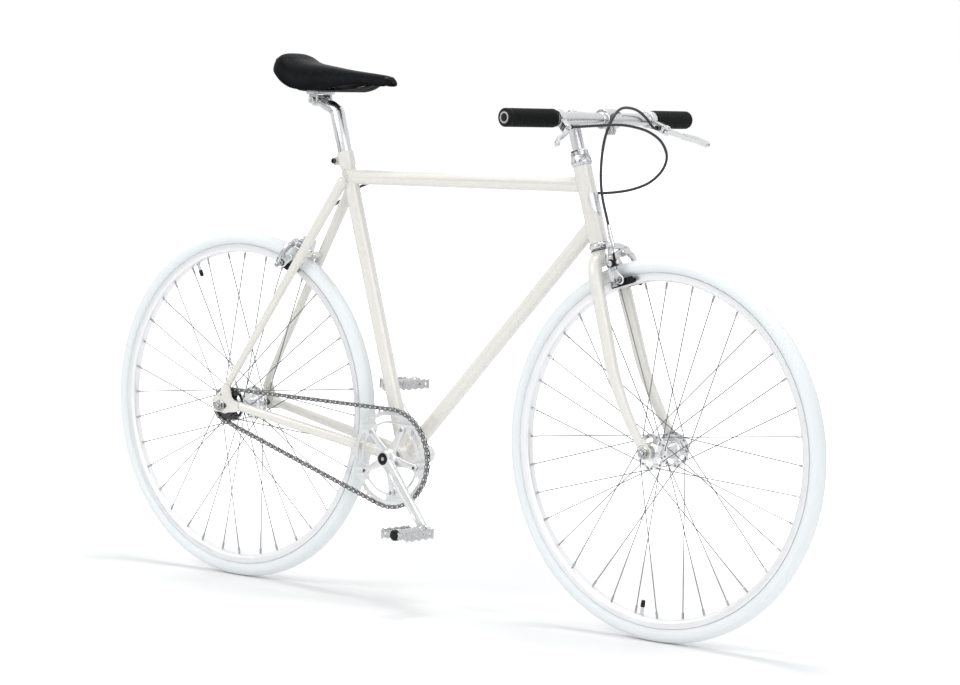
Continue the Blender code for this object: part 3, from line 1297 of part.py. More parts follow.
HOUSING_SIDE = math.radians(35)
CLIP = beside_top_tube(0.951)


def front_loop_route():
    start, outward = lever_spout(RIGHT)
    return [start, start - outward * 0.012, by_bar(0.028, -0.080, -0.012),
            by_bar(0.041, -0.025, -0.0095), by_bar(0.051, 0.008, -0.0125),
            by_bar(0.063, 0.038, -0.021), by_bar(0.075, 0.060, -0.038), by_bar(0.081, 0.070, -0.063),
            by_bar(0.073, 0.070, -0.088), by_bar(0.052, 0.062, -0.111),
            CLIP + Vector((0.096, 0.036, 0.0045)), CLIP + Vector((0.063, 0.023, -0.0025)),
            CLIP + Vector((0.033, 0.0105, -0.0045)), CLIP + Vector((0.012, 0, 0)),
            CLIP + Vector((GAP * 2, 0, 0))]


def rear_cable_route():
    end = cable_stop(REAR_CALIPER)
    up = REAR_CALIPER.up
    return [CLIP, beside_top_tube(0.925), beside_top_tube(0.575), beside_top_tube(0.225),
            beside_top_tube(0.094), bike(0.298, 0.0215, 0.790), bike(0.265, 0.0315, 0.781),
            bike(0.240, 0.0352, 0.768), bike(0.211, 0.0345, 0.751), end + up * 0.022, end]


# The whole bicycle

def looks():
    return {
        "paint": material("cream_paint", (0.77, 0.74, 0.68), 0.28),
        "alloy": material("polished_alloy", (0.78, 0.78, 0.78), 0.22, 1.0),
        "chrome": material("chrome", (0.72, 0.73, 0.74), 0.12, 1.0),
        "tyre": material("white_rubber", (0.80, 0.84, 0.88), 0.62),
        "rim": material("rim_alloy", (0.72, 0.73, 0.74), 0.30, 1.0),
        "hub": material("hub_alloy", (0.74, 0.74, 0.75), 0.20, 1.0),
        "spoke": material("spoke_steel", (0.62, 0.63, 0.64), 0.25, 1.0),
        "chain": material("chain_steel", (0.20, 0.20, 0.19), 0.35, 0.9),
        "black": material("black_rubber", (0.012, 0.012, 0.013), 0.55),
        "leather": material("black_leather", (0.012, 0.011, 0.011), 0.48),
        "housing": material("cable_housing", (0.045, 0.045, 0.05), 0.45),
    }


SADDLE_CLAMP = bike(0.190, 0, RAIL_HEIGHT)
CRADLE = SADDLE_CLAMP - UP * CRADLE_DROP


def seatpost(look, body):
    """The post with a set-back head, whose cross barrel carries the saddle's clamp."""
    top = SEAT_TOP + SEAT_UP * POST_LENGTH_OUT
    shaft = rod(SEAT_TOP - SEAT_UP * POST_INSERTION, top - SEAT_UP * 0.012, POST_RADIUS)
    neck = bent_tube([top - SEAT_UP * 0.026, top - SEAT_UP * 0.010, CRADLE + Vector((0.030, 0, -0.0115)),
                      CRADLE + Vector((0.014, 0, -0.0075)), CRADLE],
                     [POST_RADIUS - 0.0004, POST_RADIUS - 0.0006, 0.0120, 0.0103, 0.0092])
    barrel = rod(CRADLE - ACROSS * CRADLE_HALF, CRADLE + ACROSS * CRADLE_HALF, CRADLE_RADIUS)
    node("seatpost", joined([shaft, neck, barrel]), look, body)


def saddle_rails(look, body):
    """Two rails in one bent wire, with the clamp that grips them."""
    nose_share, nose_side, nose_height = SADDLE_RAIL_NOSE
    tail = saddle_surface(*SADDLE_RAIL_TAIL) - UP * (SADDLE_THICKNESS + RAIL_RADIUS + RAIL_SEAT_DROP)

    def under(share, y, height):
        return bike(SADDLE_TAIL + SADDLE_LENGTH * share, y, height)
    half = [tail, tail + Vector((0.005, -0.002, -0.028)), under(0.171, 0.026, RAIL_HEIGHT + 0.0075),
            under(0.222, RAIL_SPREAD, RAIL_HEIGHT), under(0.713, RAIL_SPREAD, RAIL_HEIGHT),
            under(0.778, 0.0165, RAIL_HEIGHT - 0.0015), under(0.8255, 0.0105, RAIL_HEIGHT - 0.0015),
            under(0.862, 0.0065, RAIL_HEIGHT + 0.001),
            under(nose_share, SADDLE_NOSE_WIDTH * nose_side, nose_height)]
    path = half + [Vector((p.x, -p.y, p.z)) for p in reversed(half)]
    rails = bent_tube(path, RAIL_RADIUS, resolution=2)
    clamp = block((0.026, 2 * RAIL_SPREAD + 0.010, CLAMP_HEIGHT),
                  Matrix.Translation(SADDLE_CLAMP - UP * (CLAMP_HEIGHT / 2 - 0.006)))
    seat = rod(CRADLE - ACROSS * 0.04, CRADLE + ACROSS * 0.04, clear_bore(CRADLE_RADIUS, RUNNING_FIT))
    node("saddle_rails", cut(joined([clamp, rails]), seat), look, body)


def saddle_surface(along_share, across_share):
    """The saddle's upper surface: a share from tail to nose, and a share from right to left."""
    x = SADDLE_TAIL + SADDLE_LENGTH * along_share
    wide = SADDLE_WIDTH / 2
    narrow = SADDLE_NOSE_WIDTH / 2
    flare = 1 / (1 + math.exp((along_share - 0.40) / 0.085))
    half = narrow + (wide - narrow) * flare
    half *= math.sqrt(max(0.0, 1 - max(0.0, 0.12 - along_share) ** 2 / 0.0225))
    half *= math.sqrt(max(0.12, 1 - max(0.0, along_share - 0.90) ** 2 / 0.0116))
    crest = 1.0385 - 0.060 * along_share + 0.022 * along_share ** 2
    crest -= 0.026 * max(0.0, along_share - 0.90) / 0.10
    crest += 0.004 * max(0.0, 0.15 - along_share) / 0.15
    depth = 0.058 - 0.040 * along_share
    turn = abs(across_share) * math.pi / 2
    out = math.copysign(math.sin(turn) ** 0.6, across_share)
    return bike(x, half * out, crest - depth * (1 - max(0.0, math.cos(turn)) ** 0.8))


def saddle_cover(look, body):
    """A padded shell that rolls down at both sides, wide at the tail and slim at the nose."""
    bm = bmesh.new()
    bmesh.ops.create_grid(bm, x_segments=8, y_segments=6, size=1.0)
    for vert in bm.verts:
        vert.co = saddle_surface((vert.co.x + 1) / 2, vert.co.y) - SADDLE_CLAMP
    bmesh.ops.recalc_face_normals(bm, faces=bm.faces)
    if sum(face.normal.z for face in bm.faces) < 0:
        bmesh.ops.reverse_faces(bm, faces=bm.faces)
    shape = from_bmesh(bm, Matrix.Translation(SADDLE_CLAMP))
    soften = shape.modifiers.new("soften", "SUBSURF")
    soften.levels = soften.render_levels = 1
    shell = shape.modifiers.new("shell", "SOLIDIFY")
    shell.thickness = SADDLE_THICKNESS
    shell.offset = -1
    node("saddle_cover", shape, look, body, smooth=70)


def build_frame(look, body):
    head_tube(look["paint"], body)
    headset_cup("headset_lower_cup", HEAD_TUBE_BOTTOM, -1, look["chrome"], body)
    headset_cup("headset_upper_cup", HEAD_TOP, 1, look["chrome"], body)
    seat_tube(look["paint"], body)
    top_and_down_tubes(look["paint"], body)
    bottom_bracket_shell(look["paint"], body)
    stays(LEFT, "left", look["paint"], body)
    stays(RIGHT, "right", look["paint"], body)
    brake_bridge(look["paint"], body)


def seat(look, frame):
    post = holder("seatpost_axis", SEAT_TOP, SEAT_UP)
    seatpost(look["alloy"], post)
    tilt = holder("saddle_axis", CRADLE, ACROSS)
    saddle_rails(look["chrome"], tilt)
    saddle_cover(look["leather"], tilt)


def main():
    clear_scene()
    look = looks()
    frame = holder("frame_body", ORIGIN)
    steering = holder("steering_axis", STEER_FOOT, STEER_UP)
    rear_wheel = holder("rear_wheel_axis", REAR_AXLE, ACROSS)
    front_wheel = holder("front_wheel_axis", FRONT_AXLE, ACROSS)
    crankset = holder("crank_axis", CRANK_AXLE, ACROSS)
    cog_axis = holder("freewheel_axis", REAR_AXLE, ACROSS)
    build_frame(look, frame)
    axle("rear_axle", REAR_AXLE, REAR_HUB_WIDTH, REAR_AXLE_RADIUS, REAR_AXLE_END,
         (REAR_HUB_WIDTH / 2 - CONE_DEPTH + GAP, FREEWHEEL_SEAT_END + GAP), look["chrome"], frame)
    wheel("rear", REAR_AXLE, REAR_HUB_WIDTH, REAR_AXLE_RADIUS, True, look, rear_wheel)
    pins, cog_phase, ring_phase = chain_stations()
    chain(pins, look["chain"], frame)
    freewheel(cog_phase, look["chrome"], cog_axis)
    crank_spindle(look["chrome"], crankset)
    chainring(ring_phase, look["alloy"], crankset)
    crank_arm_left(look["alloy"], crankset)
    crank_arm_right(look["alloy"], crankset)
    for side, word, angle in ((LEFT, "left", CRANK_ANGLE + math.pi), (RIGHT, "right", CRANK_ANGLE)):
        centre = CRANK_AXLE + along(angle) * CRANK_LENGTH
        pedal_axis = holder("pedal_axis_" + word, centre, ACROSS)
        pedal(side, "pedal_" + word, centre, look["alloy"], pedal_axis)
    fork_steerer(look["paint"], steering)
    headset_locknut(look["chrome"], steering)
    for side, word in ((LEFT, "left"), (RIGHT, "right")):
        fork_blade(side, "fork_blade_" + word, look["paint"], steering)
        grip(side, "grip_" + word, look["black"], steering)
        lever_bracket(side, "lever_bracket_" + word, look["alloy"], steering)
        _, _, pin = lever_axes(side)
        lever_body = holder("lever_axis_" + word, lever_pivot(side), pin)
        brake_lever(side, "brake_lever_" + word, look["alloy"], lever_body)
    stem(look["alloy"], steering)
    handlebar(look["alloy"], steering)
    axle("front_axle", FRONT_AXLE, FRONT_HUB_WIDTH, FRONT_AXLE_RADIUS, FRONT_AXLE_END,
         (FRONT_HUB_WIDTH / 2 - CONE_DEPTH + GAP, FRONT_HUB_WIDTH / 2 - CONE_DEPTH + GAP),
         look["chrome"], steering)
    wheel("front", FRONT_AXLE, FRONT_HUB_WIDTH, FRONT_AXLE_RADIUS, False, look, front_wheel)
    for cal, parent, centre_side in ((FRONT_CALIPER, steering, LEFT), (REAR_CALIPER, frame, RIGHT)):
        words = {LEFT: "left", RIGHT: "right"}
        caliper_mount(cal, look["alloy"], parent)
        centre_word, side_word = words[centre_side], words[-centre_side]
        px, py = CALIPER_SIDE_PIVOT
        body = holder(cal.name + "_arm_axis_" + centre_word, cal.bolt, cal.out)
        centre_arm(cal, cal.name + "_caliper_arm_" + centre_word, look["alloy"], body)
        brake_pad(cal, 1, cal.front_layer, cal.name + "_pad_" + centre_word, look["black"], body)
        body = holder(cal.name + "_arm_axis_" + side_word, cal.point(px, py, 0), cal.out)
        side_arm(cal, cal.name + "_caliper_arm_" + side_word, look["alloy"], body)
        brake_pad(cal, -1, cal.rear_layer, cal.name + "_pad_" + side_word, look["black"], body)
    seat(look, frame)
    cable("front_brake_cable", front_cable_route(), look["housing"], steering,
          [cable_stop(FRONT_CALIPER), anchor_end(FRONT_CALIPER)])
    cable("rear_brake_cable_front", front_loop_route(), look["housing"], steering)
    cable("rear_brake_cable", rear_cable_route(), look["housing"], frame,
          [cable_stop(REAR_CALIPER), anchor_end(REAR_CALIPER)])


main()
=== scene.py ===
from math import asin, atan2, ceil, copysign, cos, exp, pi, radians, sin, sqrt, tan

import bmesh
import bpy
from mathutils import Matrix, Vector


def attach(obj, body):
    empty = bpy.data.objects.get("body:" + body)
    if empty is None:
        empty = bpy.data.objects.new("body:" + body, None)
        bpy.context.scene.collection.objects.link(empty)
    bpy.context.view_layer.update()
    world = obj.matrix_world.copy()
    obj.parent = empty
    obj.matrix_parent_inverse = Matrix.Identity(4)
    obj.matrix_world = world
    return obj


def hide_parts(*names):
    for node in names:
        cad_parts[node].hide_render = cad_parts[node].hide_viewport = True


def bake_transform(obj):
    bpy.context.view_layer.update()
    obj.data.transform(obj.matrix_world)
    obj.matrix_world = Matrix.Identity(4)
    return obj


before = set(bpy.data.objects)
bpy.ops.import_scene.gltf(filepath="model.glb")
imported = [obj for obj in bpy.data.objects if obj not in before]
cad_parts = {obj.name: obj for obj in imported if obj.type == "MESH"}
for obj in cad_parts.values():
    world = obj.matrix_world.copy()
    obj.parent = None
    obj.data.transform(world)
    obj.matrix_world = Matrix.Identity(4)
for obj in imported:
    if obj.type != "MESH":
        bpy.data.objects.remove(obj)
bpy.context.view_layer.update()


# Frame tubes
# Straight steel tubes of 28.6 mm, mitred and brazed, then sprayed in an off-white gloss enamel.
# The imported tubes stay. A smooth bead of braze, painted over, fills each joint between them.

def step(tree, kind, inputs, **settings):
    """One node of a tree; each input takes a value or the output of another node."""
    node = tree.nodes.new("ShaderNode" + kind)
    for name, value in settings.items():
        setattr(node, name, value)
    for name, value in inputs.items():
        if isinstance(value, bpy.types.NodeSocket):
            tree.links.new(value, node.inputs[name])
        else:
            node.inputs[name].default_value = value
    return node


def noise(tree, scale, detail, stretch=(1, 1, 1)):
    """A fine noise over the piece, in its own metres."""
    place = step(tree, "TexCoord", {}).outputs["Object"]
    stretched = step(tree, "Mapping", {"Vector": place, "Scale": stretch}).outputs["Vector"]
    return step(tree, "TexNoise", {"Vector": stretched, "Scale": scale, "Detail": detail}).outputs["Fac"]


def finish(name, colour, roughness, metallic=0.0, specular=0.5, coat=0.0, tint=(), drift=(),
           grain=(), stretch=(1, 1, 1), detail=4.0):
    """A named finish for a slot. Tint: two tones and a scale. Drift: two values that the roughness
    wanders between, and a scale. Grain: a scale, a depth in metres and a strength."""
    made = bpy.data.materials.new(name)
    made.use_nodes = True
    made.diffuse_color = (*colour, 1.0)
    tree = made.node_tree
    shader = tree.nodes["Principled BSDF"].inputs
    for socket, value in (("Base Color", (*colour, 1.0)), ("Roughness", roughness),
                          ("Metallic", metallic), ("Coat Weight", coat), ("Coat Roughness", 0.06),
                          ("Specular IOR Level", specular)):
        shader[socket].default_value = value
    if tint:
        ramp = step(tree, "ValToRGB", {"Fac": noise(tree, tint[2], 4.0)})
        for stop, share, tone in zip(ramp.color_ramp.elements, (0.35, 0.65), tint):
            stop.position, stop.color = share, (*tone, 1.0)
        tree.links.new(ramp.outputs["Color"], shader["Base Color"])
    if drift:
        spread = step(tree, "MapRange", {
            "Value": noise(tree, drift[2], 3.0, stretch), "From Min": 0.35, "From Max": 0.65,
            "To Min": drift[0], "To Max": drift[1]})
        tree.links.new(spread.outputs["Result"], shader["Roughness"])
    if grain:
        bump = step(tree, "Bump", {"Height": noise(tree, grain[0], detail), "Distance": grain[1],
                                   "Strength": grain[2]})
        tree.links.new(bump.outputs["Normal"], shader["Normal"])
    return made


enamel = finish("cream_enamel", (0.79, 0.772, 0.728), 0.26, coat=1.0,
                tint=((0.788, 0.77, 0.726), (0.792, 0.774, 0.73), 14.0), drift=(0.24, 0.28, 60.0),
                grain=(1200.0, 0.000004, 0.02))

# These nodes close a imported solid's skin, so that it can be shaded round.
skin = bpy.data.node_groups.new("welded_skin", "GeometryNodeTree")
for way in ("INPUT", "OUTPUT"):
    skin.interface.new_socket("Geometry", in_out=way, socket_type="NodeSocketGeometry")
steps = [skin.nodes.new(kind) for kind in (
    "NodeGroupInput", "GeometryNodeRemoveAttribute", "GeometryNodeMergeByDistance",
    "GeometryNodeSetShadeSmooth", "NodeGroupOutput")]
steps[1].inputs["Name"].default_value = "custom_normal"
steps[2].inputs["Distance"].default_value = 0.000001
for before, after in zip(steps, steps[1:]):
    skin.links.new(before.outputs[0], after.inputs[0])


def soften(node, width, segments, crease):
    """Edges sharper than the crease are rounded over."""
    soft = node.modifiers.new("soft_edges", "BEVEL")
    soft.width, soft.segments = width, segments
    soft.limit_method, soft.angle_limit = "ANGLE", radians(crease)


def dress(name, look, edge=0.0, crease=35):
    """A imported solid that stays: its finish, soft edges and round shading."""
    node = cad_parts[name]
    node.material_slots[0].material = look
    node.modifiers.new("skin", "NODES").node_group = skin
    if edge:
        soften(node, edge, 2, crease)
    node.modifiers.new("crease", "EDGE_SPLIT").split_angle = radians(crease)


for name in ("head_tube", "top_tube", "down_tube", "seat_tube", "bottom_bracket_shell", "brake_bridge",
             "seat_stay_left", "seat_stay_right"):
    dress(name, enamel)
for name in ("chain_stay_left", "chain_stay_right"):
    dress(name, enamel, 0.0007)


def piece(name, shape, look, body, crease=40, *stands_for, at=Vector(), slot=None):
    """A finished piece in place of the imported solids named; it rides on its body where it has one."""
    mesh = bpy.data.meshes.new(name)
    shape.to_mesh(mesh)
    shape.free()
    mesh.materials.append(look)
    mesh.shade_smooth()
    mesh.set_sharp_from_angle(angle=radians(crease))
    made = bpy.data.objects.new(name, mesh)
    made.location = at
    bpy.context.scene.collection.objects.link(made)
    if body:
        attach(made, body)
    if stands_for:
        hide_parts(*stands_for)
    return made


def skinned(bm, rings, closed=False):
    """Faces between rings of corners in turn; a ring of one corner is a pole."""
    for a, b in zip(rings, rings[1:] + (rings[:1] if closed else [])):
        for k in range(max(len(a), len(b))):
            corners = [a[k % len(a)], a[(k + 1) % len(a)], b[(k + 1) % len(b)], b[k % len(b)]]
            bm.faces.new([v for n, v in enumerate(corners) if v not in corners[:n]])


def around(sides):
    """Turns all the way round."""
    return [2 * pi * k / sides for k in range(sides)]


def sweep(points, radii, sides=16, closed=False, into=None):
    """A round tube along points; the radius is one or one for each point."""
    bm = into or bmesh.new()
    count = len(points)
    middle = sum(points, Vector()) / count
    rings, guide = [], None
    for i, point in enumerate(points):
        before = points[i - 1] if i or closed else point
        after = points[(i + 1) % count] if i < count - 1 or closed else point
        heading = (after - before).normalized()
        if closed:
            guide = point - middle
        elif guide is None:
            guide = Vector((0, 1, 0)) if abs(heading.y) < 0.9 else Vector((0, 0, 1))
        guide = (guide - heading * guide.dot(heading)).normalized()
        over = heading.cross(guide)
        radius = radii[i] if isinstance(radii, list) else radii
        rings.append([bm.verts.new(point + (guide * cos(turn) + over * sin(turn)) * radius)
                      for turn in around(sides)])
    skinned(bm, rings, closed)
    if not closed:
        bm.faces.new(rings[0][::-1])
        bm.faces.new(rings[-1])
    return bm


def turned(profile, place, axis, sides=40, into=None):
    """A profile of (radius, distance along the axis) in millimetres, turned about the axis. Where
    neither end of the profile lies on the axis, it closes into a ring."""
    bm = into or bmesh.new()
    axis = axis.normalized()
    guide = Vector((0, 0, 1)) if abs(axis.z) < 0.9 else Vector((1, 0, 0))
    one = (guide - axis * guide.dot(axis)).normalized()
    two = axis.cross(one)
    rings = []
    for radius, reach in profile:
        middle = place + axis * (reach / 1000)
        rings.append([bm.verts.new(middle + (one * cos(turn) + two * sin(turn)) * (radius / 1000))
                      for turn in around(sides if radius else 1)])
    skinned(bm, rings, bool(profile[0][0] and profile[-1][0]))
    bmesh.ops.recalc_face_normals(bm, faces=bm.faces)
    return bm


def lathed(name, look, body, crease, *parts, stands_for=(), at=Vector(), slot=None):
    """A piece of turned parts, each with its profile, place, axis and sides."""
    bm = bmesh.new()
    for part in parts:
        turned(*part, into=bm)
    piece(name, bm, look, body, crease, *stands_for, at=at, slot=slot)


def mirrored(half):
    """Half a list of flat points whose last lies on the middle line, and its mirror image."""
    return half + [(a, -b) for a, b in reversed(half[:-1])]


HANDS = ((1, "left"), (-1, "right"))
WHEELBASE, WHEEL_RADIUS, RAKE = 1.0312, 0.343, 0.043
TUBE, HEAD_TUBE, SHELL, SEAT_STAY, CHAIN_STAY = 0.0143, 0.017, 0.02, 0.0105, 0.0084
CHAIN_STAY_TALL, FINE_BEAD, BEAD, WIDE_BEAD = 1.33, 0.0014, 0.0016, 0.0018


def bike(x, y, z):
    """A point from the rear axle along the ground, from the middle plane and from the ground."""
    return Vector((x - WHEELBASE / 2, y, z))


def leaning(lean):
    """The ways up and forward of a tube that leans back."""
    return Vector((-cos(lean), 0, sin(lean))), Vector((sin(lean), 0, cos(lean)))


across = Vector((0, 1, 0))
steer_up, steer_forward = leaning(radians(72.9))
seat_up, seat_forward = leaning(radians(73.3))
rear_axle, front_axle = bike(0, 0, WHEEL_RADIUS), bike(WHEELBASE, 0, WHEEL_RADIUS)
steer_foot = front_axle - steer_forward * RAKE


def steer(forward, y, height):
    """A point from the steering axis, the middle plane and the foot of the fork's rake."""
    return steer_foot + steer_forward * forward + Vector((0, y, 0)) + steer_up * height


crank_axle = Vector((-0.08674, 0, 0.277))
seat_top = crank_axle + seat_up * 0.597
top_rear, top_front = crank_axle + seat_up * 0.549, steer(0, 0, 0.5004)
down_front = steer(0, 0, 0.4284)
seat_stay_top = crank_axle + seat_up * 0.541 - seat_forward * 0.0075
seat_stay_foot = rear_axle + Vector((0.005, 0, 0.031))


def braze(name, start, towards, radius, post, bead, tall=1.0):
    """The bead round a tube's end, on the skin of the post or shell that it is brazed to."""
    post_foot, post_heading, post_radius = post
    heading = (towards - start).normalized()
    side = heading.cross(post_heading).normalized()
    over = heading.cross(side)
    run = heading - post_heading * heading.dot(post_heading)
    ring = []
    for turn in around(28):
        skin_point = start + (side * (cos(turn) * tall) + over * sin(turn)) * radius
        flat = skin_point - post_foot
        flat -= post_heading * flat.dot(post_heading)
        a, b, c = run.dot(run), 2 * flat.dot(run), flat.dot(flat) - post_radius ** 2
        ring.append(skin_point + heading * ((-b + sqrt(max(0.0, b * b - 4 * a * c))) / (2 * a)))
    piece("braze_" + name, sweep(ring, bead, 8, closed=True), enamel, "frame")


head_post, seat_post = (steer_foot, steer_up, HEAD_TUBE), (crank_axle, seat_up, TUBE)
shell_post = (crank_axle, across, SHELL)
braze("top_tube_head", top_front, top_rear, TUBE, head_post, BEAD)
braze("down_tube_head", down_front, crank_axle, TUBE, head_post, WIDE_BEAD)
braze("top_tube_seat", top_rear, top_front, TUBE, seat_post, BEAD)
braze("down_tube_shell", crank_axle, down_front, TUBE, shell_post, WIDE_BEAD)
braze("seat_tube_shell", crank_axle, seat_top, TUBE, shell_post, WIDE_BEAD)
ROUND = 1000 * SEAT_STAY + 0.05
cap = [(ROUND * sin(pi * k / 16), ROUND * cos(pi * k / 16)) for k in range(1, 16)]
cap = [(0, ROUND), *cap, (0, -ROUND)]
for side, hand in HANDS:
    away = across * side
    braze("chain_stay_" + hand, crank_axle + away * 0.024,
          rear_axle + Vector((0.03, side * 0.0575, 0.0035)), CHAIN_STAY, shell_post, FINE_BEAD,
          CHAIN_STAY_TALL)
    stay_end = seat_stay_top + away * 0.016
    braze("seat_stay_" + hand, stay_end, seat_stay_foot + away * 0.058, SEAT_STAY, seat_post, FINE_BEAD)
    lathed("seat_stay_cap_" + hand, enamel, "frame", 180, (cap, stay_end, Vector((0, 0, 1)), 32))


# Headset
# Two chromed steel cups pressed into the head tube, a thin black seal over the crown race and a
# hexagon locknut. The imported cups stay; the locknut is turned afresh with its washer and six flats.

chrome = finish("chrome_plate", (0.64, 0.65, 0.66), 0.09, 1.0, drift=(0.14, 0.22, 90.0))
dress("headset_lower_cup", chrome, 0.0005)
dress("headset_upper_cup", chrome, 0.0005)


nut_top = steer(0, 0, 0.5654)
lathed("headset_locknut_hexagon", chrome, "fork", 30,
       ([(11.4, 0), (15.2, 0), (16.6, -1.2), (16.8, -10.5), (11.4, -10.5)], nut_top, steer_up, 6),
       ([(12.8, -10.8), (16.6, -10.8), (16.6, -4.2), (12.8, -4.2)], nut_top, steer_up, 36),
       stands_for=["headset_locknut"])
seal_black = finish("seal_black", (0.008, 0.008, 0.009), 0.5, specular=0.2)
lathed("headset_seal", seal_black, "fork", 30, (
    [(15, 0), (17.7, 0), (17.9, 0.5), (17.9, 1.9), (17.7, 2.4), (15, 2.4)], steer(0, 0, 0.3762),
    steer_up, 48))


# Head plate
# A small bare plate of bright aluminium, bent to the head tube and held by two pins.
# It carries nothing: no words and no picture.

alloy = finish("polished_alloy", (0.66, 0.665, 0.675), 0.27, 1.0,
               drift=(0.22, 0.34, 45.0), grain=(700.0, 0.00001, 0.06), stretch=(1.0, 1.0, 3.0))
PLATE_FOOT, PLATE_HEIGHT = 0.44, 0.041
COLUMNS, ROWS = 20, 14
plate = bmesh.new()
sheet = []
for radius in (HEAD_TUBE + 0.00008, HEAD_TUBE + 0.00068):
    layer = []
    for r in range(ROWS + 1):
        rise = r / ROWS
        half = radians(60) * min((rise / 0.5 + 0.02) ** 0.6, 1.0)
        half *= 1 - 0.12 * max(0.0, rise - 0.9) / 0.1
        layer.append([plate.verts.new(
            steer(radius * cos(turn), radius * sin(turn), PLATE_FOOT + PLATE_HEIGHT * rise))
            for turn in (half * (2 * c / COLUMNS - 1) for c in range(COLUMNS + 1))])
    sheet.append(layer)
for r in range(ROWS):
    for c in range(COLUMNS):
        for layer in sheet:
            plate.faces.new((layer[r][c], layer[r][c + 1], layer[r + 1][c + 1], layer[r + 1][c]))
edge = ([(0, c) for c in range(COLUMNS)] + [(r, COLUMNS) for r in range(ROWS)]
        + [(ROWS, c) for c in range(COLUMNS, 0, -1)] + [(r, 0) for r in range(ROWS, 0, -1)])
for (r, c), (r2, c2) in zip(edge, edge[1:] + edge[:1]):
    plate.faces.new((sheet[0][r][c], sheet[0][r2][c2], sheet[1][r2][c2], sheet[1][r][c]))
bmesh.ops.recalc_face_normals(plate, faces=plate.faces)
piece("head_plate", plate, alloy, "frame")
lathed("head_plate_pins", chrome, "frame", 40, *[
    ([(0, 18.6), (0.8, 18.4), (1.3, 17.8), (1.3, 16.8), (0, 16.8)], steer(0, 0, rise), steer_forward, 10)
    for rise in (0.4455, 0.4765)])


# Fork
# A steel crown brazed on the steerer, with two round blades that taper and curve forward to
# flat ends. All of it wears the frame's enamel. The steerer stays as packed.

dress("fork_steerer", enamel, 0.0006)


def smooth_path(route, spacing):
    """Points along a smooth curve through the route's points."""
    ends = [route[0] * 2 - route[1]] + list(route) + [route[-1] * 2 - route[-2]]
    path = []
    for a, b, c, d in zip(ends, ends[1:], ends[2:], ends[3:]):
        count = max(1, round((c - b).length / spacing))
        for t in (k / count for k in range(count)):
            path.append(b + (c - a) * (t / 2) + (a * 2 - b * 5 + c * 4 - d) * (t * t / 2)
                        + (b * 3 - a - c * 3 + d) * (t ** 3 / 2))
    return path + [route[-1]]


def facing(spot, *axes):
    """A place whose own three axes point these ways."""
    return Matrix.Translation(spot) @ Matrix(axes).transposed().to_4x4()


def upright(spot):
    """A place for flat stock that stands along the bicycle."""
    return Matrix.Translation(spot) @ Matrix.Rotation(pi / 2, 4, "X")


def stamped(outlines, thickness, place, edge=0.0008):
    """A plate cut from flat stock, holes included, with its edges rounded over."""
    data = bpy.data.curves.new("outline", "CURVE")
    data.dimensions, data.fill_mode = "2D", "BOTH"
    data.extrude, data.offset = thickness / 2 - edge, -edge
    data.bevel_depth, data.bevel_resolution = edge, 2
    for outline in outlines:
        spline = data.splines.new("POLY")
        spline.points.add(len(outline) - 1)
        spline.use_cyclic_u = True
        for point, (x, y) in zip(spline.points, outline):
            point.co = (x, y, 0, 1)
    cut_out = bpy.data.objects.new("outline", data)
    bpy.context.scene.collection.objects.link(cut_out)
    bpy.context.view_layer.update()
    mesh = bpy.data.meshes.new_from_object(cut_out.evaluated_get(bpy.context.evaluated_depsgraph_get()))
    bpy.data.objects.remove(cut_out, do_unlink=True)
    bpy.data.curves.remove(data)
    bm = bmesh.new()
    bm.from_mesh(mesh)
    bpy.data.meshes.remove(mesh)
    bmesh.ops.remove_doubles(bm, verts=bm.verts, dist=0.000002)
    bmesh.ops.transform(bm, matrix=place, verts=bm.verts)
    return bm


def together(*shapes):
    """Several shapes as one."""
    whole = bmesh.new()
    for shape in shapes:
        mesh = bpy.data.meshes.new("shape")
        shape.to_mesh(mesh)
        shape.free()
        whole.from_mesh(mesh)
        bpy.data.meshes.remove(mesh)
    return whole


def arc(radius, turns, centre=(0, 0)):
    """Flat points round a centre, one for each turn."""
    return [(centre[0] + radius * cos(turn), centre[1] + radius * sin(turn)) for turn in turns]


BLADE_AHEAD, BEND_START, BLADE_TOP, BOLT_HEIGHT = 0.0053, 0.165, 0.335, 0.3616
for side, hand in HANDS:
    route = [steer(BLADE_AHEAD * min(1.0, y / 0.036), side * y, BOLT_HEIGHT + rise) for y, rise in (
        (0.01, 0.001), (0.022, -0.003), (0.031, -0.012), (0.0362, -0.026))]
    for height in (0.31, 0.24, BEND_START, 0.13, 0.095, 0.065, 0.038, 0.014):
        below = max(0.0, BEND_START - height) / BEND_START
        share = (BLADE_TOP - height) / BLADE_TOP
        route.append(steer(BLADE_AHEAD + (RAKE - 0.004 - BLADE_AHEAD) * below ** 1.5,
                           side * (0.038 + 0.012 * min(1.0, share * 1.25)), height))
    path, girth = smooth_path(route, 0.008), []
    for point in path:
        share = max(0.0, (BLADE_TOP - (point - steer_foot).dot(steer_up)) / BLADE_TOP)
        girth.append(0.013 - 0.0026 * share if share < 0.5 else 0.0117 - 0.0084 * (share - 0.5))
    end = [(f * steer_forward.x + h * steer_up.x, f * steer_forward.z + h * steer_up.z) for f, h in (
        (-0.012, 0.024), (-0.0135, 0.01), (-0.0125, -0.003), (-0.009, -0.0095), (-0.002, -0.0125),
        (0.004, -0.0125), (0.0095, -0.008), (0.0118, -0.002), (0.011, 0.005), (0.006, 0.014),
        (0.003, 0.026))]
    fork_end = stamped([end, arc(0.0051, around(24))], 0.005,
                       upright(front_axle + across * side * 0.0528), 0.0009)
    piece(f"fork_blade_{hand}_tapered", together(sweep(path, girth, 28), fork_end), enamel, "fork", 40,
          "fork_blade_" + hand)


# Tyres
# Bluish white rubber on a 32 mm casing, with a shallow tread of slanted cuts between two plain bands
# and a thin raised line near each bead, where the mould parted.

